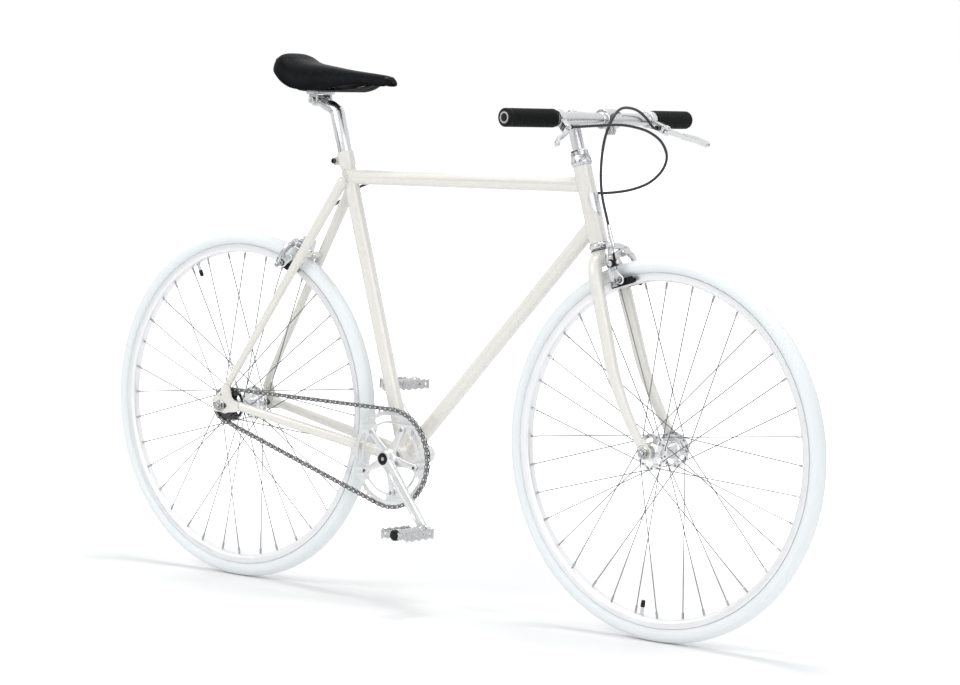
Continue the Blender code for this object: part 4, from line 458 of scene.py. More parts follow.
rubber = finish("white_rubber", (0.84, 0.875, 0.885), 0.58, specular=0.35,
                drift=(0.5, 0.66, 140.0))
tree = rubber.node_tree


def reckon(operation, *values):
    """One step of arithmetic between sockets and numbers, in the present tree."""
    return step(tree, "Math", dict(enumerate(values)), operation=operation).outputs[0]


x, y, z = step(tree, "SeparateXYZ", {0: step(tree, "TexCoord", {}).outputs["Object"]}).outputs
aside = reckon("ABSOLUTE", y)
reach = reckon("SQRT", reckon("ADD", reckon("MULTIPLY", x, x), reckon("MULTIPLY", z, z)))
slant = reckon("ADD", reckon("MULTIPLY", reckon("ARCTAN2", z, x), 150.0), reckon("MULTIPLY", aside, 420.0))
cuts = reckon("GREATER_THAN", reckon("SINE", slant), 0.62)
crown = reckon("GREATER_THAN", reach, 0.3345)
off_middle = reckon("GREATER_THAN", aside, 0.0022)
mould = reckon("LESS_THAN", reckon("ABSOLUTE", reckon("SUBTRACT", reach, 0.3215)), 0.0005)
relief = reckon("ADD", reckon("MULTIPLY", reckon("MULTIPLY", cuts, crown), off_middle),
                reckon("MULTIPLY", mould, -0.6))
bump = step(tree, "Bump", {"Height": relief, "Strength": 0.45, "Distance": 0.0006}, invert=True)
tree.links.new(bump.outputs["Normal"], tree.nodes["Principled BSDF"].inputs["Normal"])

WHEELS = (("front", front_axle, "front_wheel"), ("rear", rear_axle, "rear_wheel"))
BEAD_RADIUS, BEAD_HALF, CASING_MIDDLE, CASING, CASING_AT_LINE = 317.3, 10.0, 327.0, 16.0, 15.4
for word, hub, body in WHEELS:
    profile = [(BEAD_RADIUS, BEAD_HALF)]
    for angle in range(100, -110, -10):
        girth = CASING_AT_LINE if abs(angle) == 50 else CASING
        profile.append((CASING_MIDDLE + girth * cos(radians(angle)), girth * sin(radians(angle))))
    profile.append((BEAD_RADIUS, -BEAD_HALF))
    lathed(word + "_tyre_tread", rubber, body, 60, (profile, Vector(), across, 160),
           stands_for=[word + "_tyre"], at=hub)


# Rims
# Polished alloy rims of a slim box section, with a flat brake track on each side. Each carries a valve
# with a black cap, which comes through from the tube.

rim_alloy = finish("rim_alloy", (0.88, 0.89, 0.9), 0.42, 1.0, drift=(0.38, 0.46, 60.0))
cap_black = finish("moulded_black", (0.009, 0.009, 0.01), 0.42, specular=0.2,
                   drift=(0.36, 0.5, 300.0), grain=(1800.0, 0.00003, 0.3))
section = mirrored([(312.5, 8.5), (316.6, 9.5), (317.0, 10.2), (316.6, 11.0), (307.8, 10.9),
                    (306.6, 10.4), (304.2, 9.7), (302.2, 8.2), (301.3, 5.8), (301.0, 0)])
for (word, hub, body), valve_turn in zip(WHEELS, (263, 116)):
    lathed(word + "_rim_section", rim_alloy, body, 50, (section, Vector(), across, 160),
           stands_for=[word + "_rim"], at=hub)
    at = radians(valve_turn)
    inward = Vector((-cos(at), 0, -sin(at)))
    foot = hub - inward * 0.3015
    lathed(word + "_valve", chrome, body, 40, (
        [(0, 0), (4.2, 0), (4.2, 2.5), (3.1, 3), (3.1, 16), (0, 16)], foot, inward, 16))
    lathed(word + "_valve_cap", cap_black, body, 40, (
        [(0, 15), (3.6, 15), (4, 15.8), (3.8, 26), (3, 27.2), (0, 27.5)], foot, inward, 16))


# Spokes
# Thirty-six plain-gauge steel spokes to each wheel, eighteen from each flange, crossing three times.
# Every other one leaves from inside its flange. Brass nipples, plated, draw them up at the rim.

spoke_steel = finish("spoke_steel", (0.2, 0.205, 0.21), 0.34, 1.0,
                     drift=(0.28, 0.4, 120.0))
nipple_plate = finish("nipple_plate", (0.42, 0.42, 0.43), 0.3, 1.0, drift=(0.22, 0.38, 400.0))
A_SIDE, CROSSINGS, SPOKE = 18, 3, 0.00095
STEP = 2 * pi / A_SIDE
HOLE_RADIUS, FLANGE_OFFSET, NIPPLE_RADIUS, NIPPLE_OFFSET = 0.029, 0.032, 0.2996, 0.003
for word, hub, body in WHEELS:
    nipples = bmesh.new()
    for side, hand in HANDS:
        wires = bmesh.new()
        for lean in (1, -1):
            outward = across * side * lean
            for k in range(0, A_SIDE, 2):
                start = (STEP / 2 if side < 0 else 0.0) + k * STEP + (0 if lean > 0 else STEP)
                stop = start + lean * CROSSINGS * STEP
                hole = Vector((cos(start) * HOLE_RADIUS, side * FLANGE_OFFSET, sin(start) * HOLE_RADIUS))
                near, far = outward * 0.0026, outward * -0.0019
                tip = Vector((cos(stop) * NIPPLE_RADIUS, side * NIPPLE_OFFSET, sin(stop) * NIPPLE_RADIUS))
                run = (tip - hole - near).normalized()
                sweep([hole + far, hole + near * 0.6, hole + near + run * 0.0018, tip], SPOKE, 8,
                      into=wires)
                turned([(0, -1.1), (1.3, -0.9), (2.1, -0.3), (2, 0.3), (0, 0.3)], hole + far, outward, 8,
                       wires)
                turned([(0, 0), (2.1, 0), (2.1, 10.5), (1.4, 12.5), (0, 12.5)], tip + run * 0.0008, -run,
                       8, nipples)
        piece(f"{word}_spoke_wires_{hand}", wires, spoke_steel, body, 40, f"{word}_spokes_{hand}", at=hub)
    piece(word + "_nipples", nipples, nipple_plate, body, 30, at=hub)


# Hubs
# High-flange hubs of polished alloy: a slim barrel and two stamped flanges with five bent windows.
# The rear one goes on to the right as the seat that the freewheel is screwed on.

def evenly(first, last, count):
    """Values from first to last in even steps."""
    return [first + (last - first) * k / count for k in range(count + 1)]


def bent_window(low, high, middle, span):
    """A window bent round the centre, with round ends."""
    half, radius = (high - low) / 2, (high + low) / 2
    reach = span / 2 - half / radius
    first, last = middle - reach, middle + reach
    return (arc(high, evenly(first, last, 8))
            + arc(half, evenly(last, last + pi, 6)[1:-1], arc(radius, [last])[0])
            + arc(low, evenly(last, first, 8))
            + arc(half, evenly(first + pi, first + 2 * pi, 6)[1:-1], arc(radius, [first])[0]))


hub_alloy = finish("hub_alloy", (0.84, 0.85, 0.86), 0.32, 1.0, drift=(0.22, 0.32, 80.0))
neck = [(15.2, 33.5), (15.2, 30.5), (13, 28.8), (11.3, 25), (10.5, 20)]
for (word, hub, body), end, bore in zip(WHEELS, (40, 50), (5.1, 5.6)):
    right_end = [(16.8, -33.5), (16.8, -53.5), (bore, -53.5)] if word == "rear" else [
        (13.5, -34.5), (13.5, 0.8 - end), (12.8, -end), (bore, -end)]
    barrel = turned([(bore, end), (12.8, end), (13.5, end - 0.8), (13.5, 34.5)] + neck
                    + [(r, -y) for r, y in reversed(neck)] + right_end, Vector(), across, 44)
    windows = [bent_window(0.0186, 0.0256, 2 * pi * (k + 0.5) / 5, 0.72) for k in range(5)]
    flanges = [stamped([arc(0.0335, around(72)), arc(0.014, around(44))] + windows, 0.003,
                       upright(across * side * FLANGE_OFFSET), 0.0006) for side in (1, -1)]
    piece(word + "_hub_flanges", together(barrel, *flanges), hub_alloy, body, 35, word + "_hub", at=hub)


# Axles
# Steel axles, threaded at the ends, with cones inside the ends and a flanged nut outside each.
# The front axle sits in the fork, the rear one in the track ends.

axle_steel = finish("axle_steel", (0.46, 0.46, 0.455), 0.24, 1.0, drift=(0.14, 0.3, 200.0))
FREEWHEEL_CONE = 53.8


def threaded(radius, start, end):
    """The profile of a screwed end: a thread drawn as rings 1 mm apart."""
    count = round(end - start)
    rings = []
    for k in range(count):
        reach = start + (end - start) * k / count
        rings += [(radius, reach), (radius - 0.4, reach + (end - start) / count * 0.5)]
    return rings + [(radius - 0.6, end), (0, end)]


for word, hub, body, inside, radius, end, cone in (
        ("front", front_axle, "fork", 50.0, 4.5, 70.5, 40.3),
        ("rear", rear_axle, "frame", 60.0, 5.0, 79.0, 50.3)):
    out = inside + 5.9
    shaft = turned([(0, -out), (radius, -out), (radius, out), (0, out)], hub, across, 20)
    for side in (1, -1):
        away = across * side
        foot = FREEWHEEL_CONE if word == "rear" and side < 0 else cone
        turned([(radius, foot), (8, foot), (8.8, foot + 0.8), (8.8, inside - 1.2), (8.2, inside - 0.3),
                (radius, inside - 0.3)], hub, away, 28, shaft)
        turned(threaded(radius, out + 8, end), hub, away, 20, shaft)
        turned([(radius, out), (10.8, out), (11, out + 0.6), (10.8, out + 1.6), (9.2, out + 2.4),
                (radius, out + 2.4)], hub, away, 32, shaft)
        turned([(radius, out + 2), (9.4, out + 2), (9.6, out + 2.6), (9.6, out + 7.8), (8.4, out + 9.2),
                (radius, out + 9.2)], hub, away, 6, shaft)
    piece(word + "_axle_nuts", shaft, axle_steel, body, 25, word + "_axle")


# Chain
# A half-inch roller chain of a hundred links: narrow and wide links in turn, each of two waisted
# plates, on pins with rollers. The plates are dark from oil, the pins and rollers bright.

PITCH, LINKS, CHAIN_LINE, RING_TEETH, COG_TEETH = 0.0127, 100, 0.046, 46, 16
LINK_RADIUS, LINK_WAIST, LINK_THICK, ROLLER_SEAT, TOOTH_HEIGHT = 0.0041, 0.0027, 0.0009, 0.0041, 0.0024
ring_radius, cog_radius = RING_TEETH * PITCH / (2 * pi), COG_TEETH * PITCH / (2 * pi)
back = rear_axle - crank_axle
chain_lean = asin((ring_radius - cog_radius) / back.length)
straight = sqrt(back.length ** 2 - (ring_radius - cog_radius) ** 2)
heading = atan2(back.z, back.x)
top_turn, low_turn = heading - (pi / 2 - chain_lean), heading + (pi / 2 - chain_lean)
round_cog = cog_radius * (pi - 2 * chain_lean)


def on_ring(turn):
    return crank_axle + Vector((cos(turn) * ring_radius, -CHAIN_LINE, sin(turn) * ring_radius))


def on_cog(turn):
    return rear_axle + Vector((cos(turn) * cog_radius, -CHAIN_LINE, sin(turn) * cog_radius))


def on_chain(s):
    """The chain's middle, a way along it from where it leaves the top of the chainring."""
    if s < straight:
        return on_ring(top_turn).lerp(on_cog(top_turn), s / straight)
    s -= straight
    if s < round_cog:
        return on_cog(top_turn + s / cog_radius)
    s -= round_cog
    if s < straight:
        return on_cog(low_turn).lerp(on_ring(low_turn), s / straight)
    return on_ring(low_turn + (s - straight) / ring_radius)


def mesh_turn(first_turn, start, radius, teeth):
    """The turn of a tooth, half a pitch on from the first roller on its wheel."""
    return first_turn + (ceil(start / PITCH) * PITCH - start) / radius + pi / teeth


cog_phase = mesh_turn(top_turn, straight, cog_radius, COG_TEETH)
ring_phase = mesh_turn(low_turn, 2 * straight + round_cog, ring_radius, RING_TEETH)
pin_places = [on_chain(k * PITCH) for k in range(LINKS)]


def lofted(rings, into=None):
    """A closed skin over rings of points with the same count."""
    bm = into or bmesh.new()
    rows = [[bm.verts.new(p) for p in ring] for ring in rings]
    skinned(bm, rows)
    bm.faces.new(rows[0])
    bm.faces.new(rows[-1])
    bmesh.ops.recalc_face_normals(bm, faces=bm.faces)
    return bm


link_steel = finish("chain_plate_steel", (0.34, 0.34, 0.345), 0.34, 0.95,
                    tint=((0.13, 0.13, 0.13), (0.32, 0.32, 0.325), 400.0), drift=(0.26, 0.46, 500.0))
plates = bmesh.new()
for k, pin in enumerate(pin_places):
    after = pin_places[(k + 1) % LINKS]
    run = (after - pin).normalized()
    rise = run.cross(across)
    gap = 0.0029 if k % 2 else 0.0018
    outline = []
    for eye, first, waist in ((pin, 62, -LINK_WAIST), (after, -118, LINK_WAIST)):
        outline += [eye + (run * cos(t) + rise * sin(t)) * LINK_RADIUS
                    for t in (radians(first + 236 * i / 8) for i in range(9))]
        outline.append((pin + after) / 2 + rise * waist)
    for away in (across, -across):
        lofted([[p + away * (gap + thick) for p in outline] for thick in (0, LINK_THICK)], plates)
piece("chain_link_plates", plates, link_steel, "frame", 30, "chain")
pin_steel = finish("chain_pin_steel", (0.86, 0.86, 0.855), 0.28, 1.0,
                   drift=(0.2, 0.4, 500.0))
pins = bmesh.new()
for pin in pin_places:
    turned([(0, -4.1), (1.6, -4.1), (1.8, -3.7), (1.8, 3.7), (1.6, 4.1), (0, 4.1)], pin, across, 8, pins)
    turned([(0, -1.7), (3.8, -1.7), (3.8, 1.7), (0, 1.7)], pin, across, 14, pins)
piece("chain_pins_rollers", pins, pin_steel, "frame", 30)


# Freewheel
# A steel freewheel with sixteen teeth, blued dark, its outer shell turned smooth and a narrower
# shoulder on its face.

dark_steel = finish("blued_steel", (0.085, 0.083, 0.088), 0.28, 0.95,
                    drift=(0.2, 0.38, 150.0))


def sprocket(teeth, radius, phase):
    """The outline of a wheel for a roller chain, each tooth between two rollers."""
    outline = []
    for tooth in (phase + turn for turn in around(teeth)):
        outline += arc(radius + TOOTH_HEIGHT, (tooth - 0.0008 / radius, tooth + 0.0008 / radius))
        roller = tooth + pi / teeth
        outline += arc(ROLLER_SEAT, [roller + pi + radians(bend) for bend in (72, 40, 0, -40, -72)],
                       arc(radius, [roller])[0])
    return outline


cog = stamped([sprocket(COG_TEETH, cog_radius, cog_phase), arc(0.0205, around(40))], 0.0024,
              upright(rear_axle - across * CHAIN_LINE), 0.0004)
shell = turned([(17.6, -39.5), (22.8, -39.5), (23.5, -40.2), (23.5, -49.8), (22.6, -50.7), (20.6, -50.9),
                (20.4, -51.4), (19.2, -51.4), (19, -50.9), (17.6, -50.9)], rear_axle, across, 48)
piece("freewheel_shell", together(shell, cog), dark_steel, "freewheel", 35, "freewheel")


# Chainring
# A ring of 46 teeth cut from alloy plate, with a bolt tab for each arm of the spider and a long window
# between each two. Both faces are turned bright.

CRANK_TURN, CRANK_LENGTH, FIFTH = radians(-46.5), 0.17, 2 * pi / 5
crank_alloy = finish("crank_alloy", (0.78, 0.785, 0.79), 0.36, 1.0,
                     drift=(0.32, 0.4, 70.0))
TAB = [(-0.235, 0.0665), (-0.2, 0.066), (-0.165, 0.0635), (-0.14, 0.0605), (-0.11, 0.0592),
       (0.0, 0.0588)]
TAB += [(-swing, reach) for swing, reach in reversed(TAB[:-1])]
TAB += [(0.235 + (FIFTH - 0.47) * i / 8, 0.0665) for i in range(1, 8)]
inside, windows = [], []
for k in range(5):
    arm = CRANK_TURN + FIFTH / 2 + FIFTH * k
    inside += [(reach * cos(arm + swing), reach * sin(arm + swing)) for swing, reach in TAB]
    windows.append(bent_window(0.0708, 0.0812, arm + FIFTH / 2, 0.8))
ring = stamped([sprocket(RING_TEETH, ring_radius, ring_phase), inside] + windows, 0.0024,
               upright(crank_axle - across * CHAIN_LINE), 0.0004)
piece("chainring_teeth", ring, crank_alloy, "crankset", 35, "chainring")


# Cranks
# Two forged alloy arms with a shallow flute, polished, pressed on the square ends of a steel spindle.
# The right one carries a five-arm spider with bolts; a black cap covers each spindle bolt.

dress("crank_spindle", axle_steel)


def strap(points, widths, ends=8):
    """The outline of a bar with round ends, which follows flat points with a width at each."""
    left, right = [], []
    for i, (x, y) in enumerate(points):
        before, after = points[max(i - 1, 0)], points[min(i + 1, len(points) - 1)]
        turn = atan2(after[1] - before[1], after[0] - before[0])
        left += arc(widths[i] / 2, [turn + pi / 2], (x, y))
        right += arc(widths[i] / 2, [turn - pi / 2], (x, y))
    caps = []
    for (x, y), (sx, sy), width in ((points[0], right[0], widths[0]), (points[-1], left[-1], widths[-1])):
        turn = atan2(sy - y, sx - x)
        caps.append(arc(width / 2, evenly(turn, turn - pi, ends)[1:-1], (x, y)))
    return caps[0] + left + caps[1] + right[::-1]


def ramped(value):
    return min(1.0, max(0.0, value))


FACE = 47.5                       # the spider's inner face, in millimetres from the middle plane
CORNER, FLUTE, BOLT_CIRCLE = 0.0035, 0.0016, 0.065
bolts, caps, cap_centres = bmesh.new(), bmesh.new(), bmesh.new()
for side, hand in ((-1, "right"), (1, "left")):
    turn = CRANK_TURN if side < 0 else CRANK_TURN + pi
    out, away = Vector((cos(turn), 0, sin(turn))), across * side
    over = away.cross(out)
    rings = []
    for t in evenly(0, 1, 14):
        middle = crank_axle + out * CRANK_LENGTH * t + away * (0.0605 + 0.0155 * t)
        half, thick = 0.0128 - 0.0036 * t ** 0.8, 0.0061 - 0.0007 * t
        flute = FLUTE * ramped((t - 0.13) / 0.06) * ramped((0.87 - t) / 0.06)
        groove = half * 0.48
        section = [(-groove, thick), (-groove * 0.72, thick - flute), (groove * 0.72, thick - flute),
                   (groove, thick)]
        for corner, (a, b) in enumerate(((1, 1), (1, -1), (-1, -1), (-1, 1))):
            section += arc(CORNER, [radians(90 - 90 * corner - bend) for bend in (0, 30, 60, 90)],
                           (a * (half - CORNER), b * (thick - CORNER)))
        rings.append([middle + over * a + away * b for a, b in section])
    shapes = [lofted(rings),
              turned([(8.6, 53.5), (15.8, 53.5), (16.5, 54.3), (16.5, 65.5), (15.6, 67.2), (14, 67.7),
                      (11.8, 67.7), (11.2, 66.8), (8.6, 66.8)], crank_axle, away, 48),
              turned([(0, 70), (11.5, 70), (12.5, 71), (12.5, 80.6), (11.7, 81.8), (10.5, 82), (0, 82)],
                     crank_axle + out * CRANK_LENGTH, away, 40)]
    if side < 0:
        for k in range(5):
            finger = turn + FIFTH / 2 + FIFTH * k
            route = [arc(r, [finger])[0] for r in (0.0, 0.022, 0.036, 0.05, BOLT_CIRCLE)]
            shapes.append(stamped([strap(route, [0.02, 0.018, 0.014, 0.012, 0.013])], 0.0045,
                                  upright(crank_axle + away * (FACE / 1000 + 0.00225)), 0.0013))
            spot = crank_axle + Vector((cos(finger), 0, sin(finger))) * BOLT_CIRCLE
            turned([(0, FACE + 4.5), (2.4, FACE + 4.5), (2.6, FACE + 5.6), (4.2, FACE + 5.8),
                    (4.8, FACE + 5.2), (4.8, FACE + 3.6), (0, FACE + 3.6)], spot, away, 20, bolts)
        shapes.append(turned([(0, FACE), (19.5, FACE), (19.5, FACE + 4), (17.8, FACE + 7.2), (16.5, 56),
                              (0, 56)], crank_axle, away, 48))
    piece(f"crank_{hand}_forging", together(*shapes), crank_alloy, "crankset", 40, "crank_arm_" + hand)
    turned([(0, 67.4), (4, 67.4), (4.4, 68.2), (10, 68.4), (11.2, 67.8), (11.6, 66.8), (0, 66.8)],
           crank_axle, away, 36, caps)
    turned([(0, 67.9), (3.6, 67.9), (4, 67.4), (0, 67.4)], crank_axle, away, 20, cap_centres)
piece("chainring_bolts", bolts, chrome, "crankset", 35)
piece("crank_caps", caps, cap_black, "crankset", 35)
piece("crank_cap_centres", cap_centres, axle_steel, "crankset", 35)


# Pedals
# A cage of four toothed and drilled alloy plates round a barrel that turns on a steel axle, with a
# black dust cap at the outer end.

pedal_alloy = finish("pedal_alloy", (0.56, 0.565, 0.57), 0.34, 1.0,
                     drift=(0.24, 0.36, 150.0))
TEETH, TOOTH, CAGE_HALF = 4, 0.0022, 0.0306
ahead, aloft = Vector((1, 0, 0)), Vector((0, 0, 1))
for side, hand in HANDS:
    turn = CRANK_TURN if side < 0 else CRANK_TURN + pi
    middle = crank_axle + Vector((cos(turn), 0, sin(turn))) * CRANK_LENGTH
    away = across * side
    plates = []
    for span, tall, reach, end in ((0.038, 0.01, 0.1265, -1), (0.038, 0.01, 0.1265, 1),
                                   (0.0318, 0.008, 0.0894, 0), (0.0318, 0.008, 0.1636, 0)):
        edge = [(span * (2 * i / (TEETH * 4) - 1), tall - (TOOTH if i % 4 in (2, 3) else 0.0))
                for i in range(TEETH * 4 + 1)]
        holes = [arc(0.0032, around(16), (span * share, 0))
                 for share in ((-0.72, -0.24, 0.24, 0.72) if end else (-0.72, 0.72))]
        run, face = (across, ahead) if end else (ahead, across)
        plates.append(stamped([edge + [(-x, -z) for x, z in edge]] + holes, 0.0025,
                              facing(middle + away * reach + ahead * CAGE_HALF * end, run, aloft, face),
                              0.0006))
    barrel = turned([(5, 87.2), (10.4, 87.2), (11.2, 88), (11.2, 96), (9.4, 98.5), (9.4, 149),
                     (11.2, 151.5), (11.2, 160.8), (0, 160.8)], middle, away, 36)
    body = "pedal_" + hand
    piece("pedal_cage_" + hand, together(barrel, *plates), pedal_alloy, body, 35, body)
    lathed("pedal_cap_" + hand, cap_black, body, 35, (
        [(0, 160), (10, 160), (10, 164.8), (8.8, 165.6), (0, 165.8)], middle, away, 32))
    lathed("pedal_axle_" + hand, axle_steel, "crankset", 35, (
        [(0, 70), (4.5, 70), (4.5, 82.1), (7.4, 82.1), (7.6, 82.6), (7.6, 86.2), (6, 86.8), (4.5, 87.1),
         (4.5, 150), (0, 150)], middle, away, 24))


# Stem
# An alloy quill stem, forged and polished: a quill in the steerer with its bolt on top, a level
# extension, and a split clamp round the bar that one bolt draws together.

STEM_HEIGHT, STEM_REACH = 0.6253, 0.0818
corner = steer(0, 0, STEM_HEIGHT)
bar_centre = corner + Vector((STEM_REACH, 0, 0))
quill = turned([(0, 452), (11.1, 452), (11.1, 629), (12, 631), (12.2, 634), (11.2, 635.8), (6.2, 636.3),
                (5.8, 635), (0, 635)], steer_foot, steer_up, 40)
neck_route = smooth_path([corner - Vector((0.002, 0, 0.001)), corner + Vector((0.022, 0, 0.0004)),
                          corner + Vector((0.052, 0, 0)), bar_centre - Vector((0.01, 0, 0))], 0.004)
neck_girth = [0.0128 - 0.0024 * sin(pi * share * 0.75) for share in evenly(0, 1, len(neck_route) - 1)]
clamp = turned([(13, -20), (16.8, -20), (18, -18.8), (18, 18.8), (16.8, 20), (13, 20)], bar_centre,
               across, 56)
ears = bmesh.new()
ear = bar_centre + Vector((0.006, 0, -0.0205))
for side in (1, -1):
    bmesh.ops.create_cube(ears, size=1.0, matrix=Matrix.Translation(ear + across * side * 0.0036)
                          @ Matrix.Diagonal((0.0145, 0.0052, 0.0145, 1.0)))
bmesh.ops.bevel(ears, geom=list(ears.edges), offset=0.0012, segments=3, affect="EDGES")
piece("stem_forging", together(quill, sweep(neck_route, neck_girth, 32), clamp, ears), alloy, "fork", 40,
      "stem")
lathed("stem_bolts", chrome, "fork", 35,
       ([(0, -10.5), (3, -10.5), (3.4, -9.9), (3.4, 6.2), (5.2, 6.4), (5.6, 7), (5.6, 9.8), (5, 10.6),
         (2.8, 10.6), (2.8, 8.6), (0, 8.6)], ear, across, 24),
       ([(0, 634.6), (5.2, 634.6), (5.6, 635.2), (5.6, 639.2), (4.8, 640), (3, 640), (2.8, 638.4),
         (0, 638.4)], steer_foot, steer_up, 24))


# Handlebar
# One polished alloy tube, almost straight and swept a little back, with a thicker sleeve at the middle.
# It bends just outside the stem's clamp.

BAR_SWEEP = tan(radians(5.7))


def bar_point(y):
    return bar_centre + Vector((-BAR_SWEEP * max(0.0, abs(y) - 0.04), y, 0))


half_bar = []
for y in (0.264, 0.2, 0.12, 0.06, 0.05, 0.044, 0.04, 0.036, 0.0262, 0.0255, 0.0245, 0.0238):
    swept = BAR_SWEEP * max(0.0, y - 0.041) * ramped((y - 0.034) / 0.014)
    half_bar.append(bar_centre + Vector((-swept, y, 0)))
half_girth = [0.0111] * 9 + [0.0114, 0.0124, 0.0127]
bar = sweep(half_bar + [Vector((p.x, -p.y, p.z)) for p in reversed(half_bar)],
            half_girth + half_girth[::-1], 40)
piece("handlebar_tube", bar, alloy, "fork", 30, "handlebar")


# Grips
# Black moulded rubber with fine rings all round, closed at the outer end by a black plug that has a
# thin bright ring let into it.

grip_rubber = finish("grip_rubber", (0.007, 0.0075, 0.008), 0.62, specular=0.12,
                     drift=(0.52, 0.7, 200.0), grain=(2500.0, 0.00006, 0.4))
RINGS, GRIP_START, GRIP_END = 38, 0.146, 0.2645
for side, hand in HANDS:
    start = bar_point(side * GRIP_START)
    run = bar_point(side * GRIP_END) - start
    end = run.length * 1000
    pitch = (end - 13) / RINGS
    profile = [(11.4, end), (11.4, 0), (15, 0), (16.2, 0.6), (16.5, 1.8), (16.5, 6)]
    for foot in (6.6 + pitch * k for k in range(RINGS)):
        profile += [(16.5, foot), (16.5, foot + pitch * 0.55), (16, foot + pitch * 0.68),
                    (16, foot + pitch * 0.88)]
    profile += [(16.5, end - 5.8), (16.5, end + 1.2), (15.8, end + 2.2), (13.8, end + 2.4), (13.6, end)]
    lathed("grip_rings_" + hand, grip_rubber, "fork", 50, (profile, start, run, 48),
           stands_for=["grip_" + hand])
    lathed("bar_plug_" + hand, cap_black, "fork", 35, (
        [(0, end - 2), (13.6, end - 2), (13.6, end + 2.6), (12.6, end + 3.4), (0, end + 3.6)], start, run))
    lathed("bar_plug_ring_" + hand, alloy, "fork", 35, (
        [(7.2, end + 3), (10.6, end + 3), (10.4, end + 3.7), (7.4, end + 3.7)], start, run))


# Brake levers
# Alloy levers in alloy brackets, each bracket clamped round the bar with one screw. The blade turns on
# a steel pin. A black barrel takes the cable in at the inner end.

LEVER_PLACE, LEVER_DROP = 0.135, radians(31.4)
lever_back, lever_pin = leaning(LEVER_DROP)
lever_away = -lever_back
lever_alloy = finish("lever_alloy", (0.72, 0.725, 0.73), 0.26, 1.0,
                     drift=(0.2, 0.32, 90.0))
spouts = {}
for side, hand in HANDS:
    away = across * side
    dress("lever_bracket_" + hand, lever_alloy, 0.0009, 30)
    dress("brake_lever_" + hand, lever_alloy, 0.0012, 30)
    pivot = bar_point(side * LEVER_PLACE) + away * 0.0133 + lever_away * 0.0365
    spouts[hand] = pivot - away * 0.0183 - lever_away * 0.0085
    pin_end = [(0, 6.8), (3.4, 6.8), (4, 7.3), (4, 8.4), (3.4, 8.9), (1.6, 8.9), (1.4, 8.2), (0, 8.2)]
    lathed("lever_screws_" + hand, chrome, "fork", 35,
           (pin_end, pivot, lever_pin, 20), (pin_end, pivot, -lever_pin, 20),
           ([(0, -6.2), (3.6, -6.2), (4, -5.6), (4, 5), (5, 5.2), (5.2, 7.6), (4.4, 8.2), (0, 8.2)],
            bar_point(side * LEVER_PLACE) - lever_away * 0.0152, lever_pin, 20))
    lathed("lever_barrel_" + hand, cap_black, "fork", 35, (
        [(2.7, -5.8), (4.4, -5.8), (5, -5.2), (5, -1), (4.2, 0), (4.2, 4.6), (2.7, 5)],
        spouts[hand] + away * 0.0003, -away, 24))


# Brake calipers
# Side-pull alloy arms, forged and polished, on a steel bolt through the fork crown or the bridge. A
# black clamp on one arm grips the bare cable; a barrel on the other holds its housing.

stay_rise = (seat_stay_top - seat_stay_foot).normalized()
TRACK_RADIUS, CABLE_SIDE, PAD_AHEAD = 0.3067, -0.0285, 0.008
PAD, HOLDER, CABLE_CLAMP = (0.007, 0.0056, 0.052), (0.013, 0.0034, 0.05), (0.013, 0.011, 0.019)


class Brake:
    """Where a brake sits: a across its width, b up it and c out from its mount."""

    def __init__(self, bolt, up, out, plane, wheel_axle):
        self.bolt, self.up, self.out, self.axle = bolt, up, out, wheel_axle
        self.side = up.cross(out)
        self.rear_layer, self.front_layer = plane + 0.003, plane + 0.0093
        self.tower = self.front_layer + 0.0045

    def at(self, a, b, c):
        return self.bolt + self.side * a + self.up * b + self.out * c

    def drop(self, c):
        """How far below the bolt the brake track lies, at a distance out."""
        offset = self.bolt + self.out * c - self.axle
        height = offset.dot(self.up)
        return height - sqrt(height ** 2 - offset.length_squared + TRACK_RADIUS ** 2)


front_brake = Brake(steer(0, 0, BOLT_HEIGHT), steer_up, steer_forward, 0.0365, front_axle)
rear_brake = Brake(Vector((-0.34008, 0, 0.64754)), stay_rise, Vector((-stay_rise.z, 0, stay_rise.x)),
                   0.0295, rear_axle)
pad_rubber = finish("pad_rubber", (0.009, 0.009, 0.0095), 0.66, specular=0.15,
                    drift=(0.56, 0.74, 300.0), grain=(1500.0, 0.00008, 0.4))


def block(place, size, edge):
    """A block with its edges rounded over."""
    bm = bmesh.new()
    bmesh.ops.create_cube(bm, size=1.0, matrix=Matrix.Diagonal((*size, 1.0)))
    bmesh.ops.bevel(bm, geom=list(bm.edges), offset=edge, segments=3, affect="EDGES")
    bmesh.ops.transform(bm, matrix=place, verts=bm.verts)
    return bm


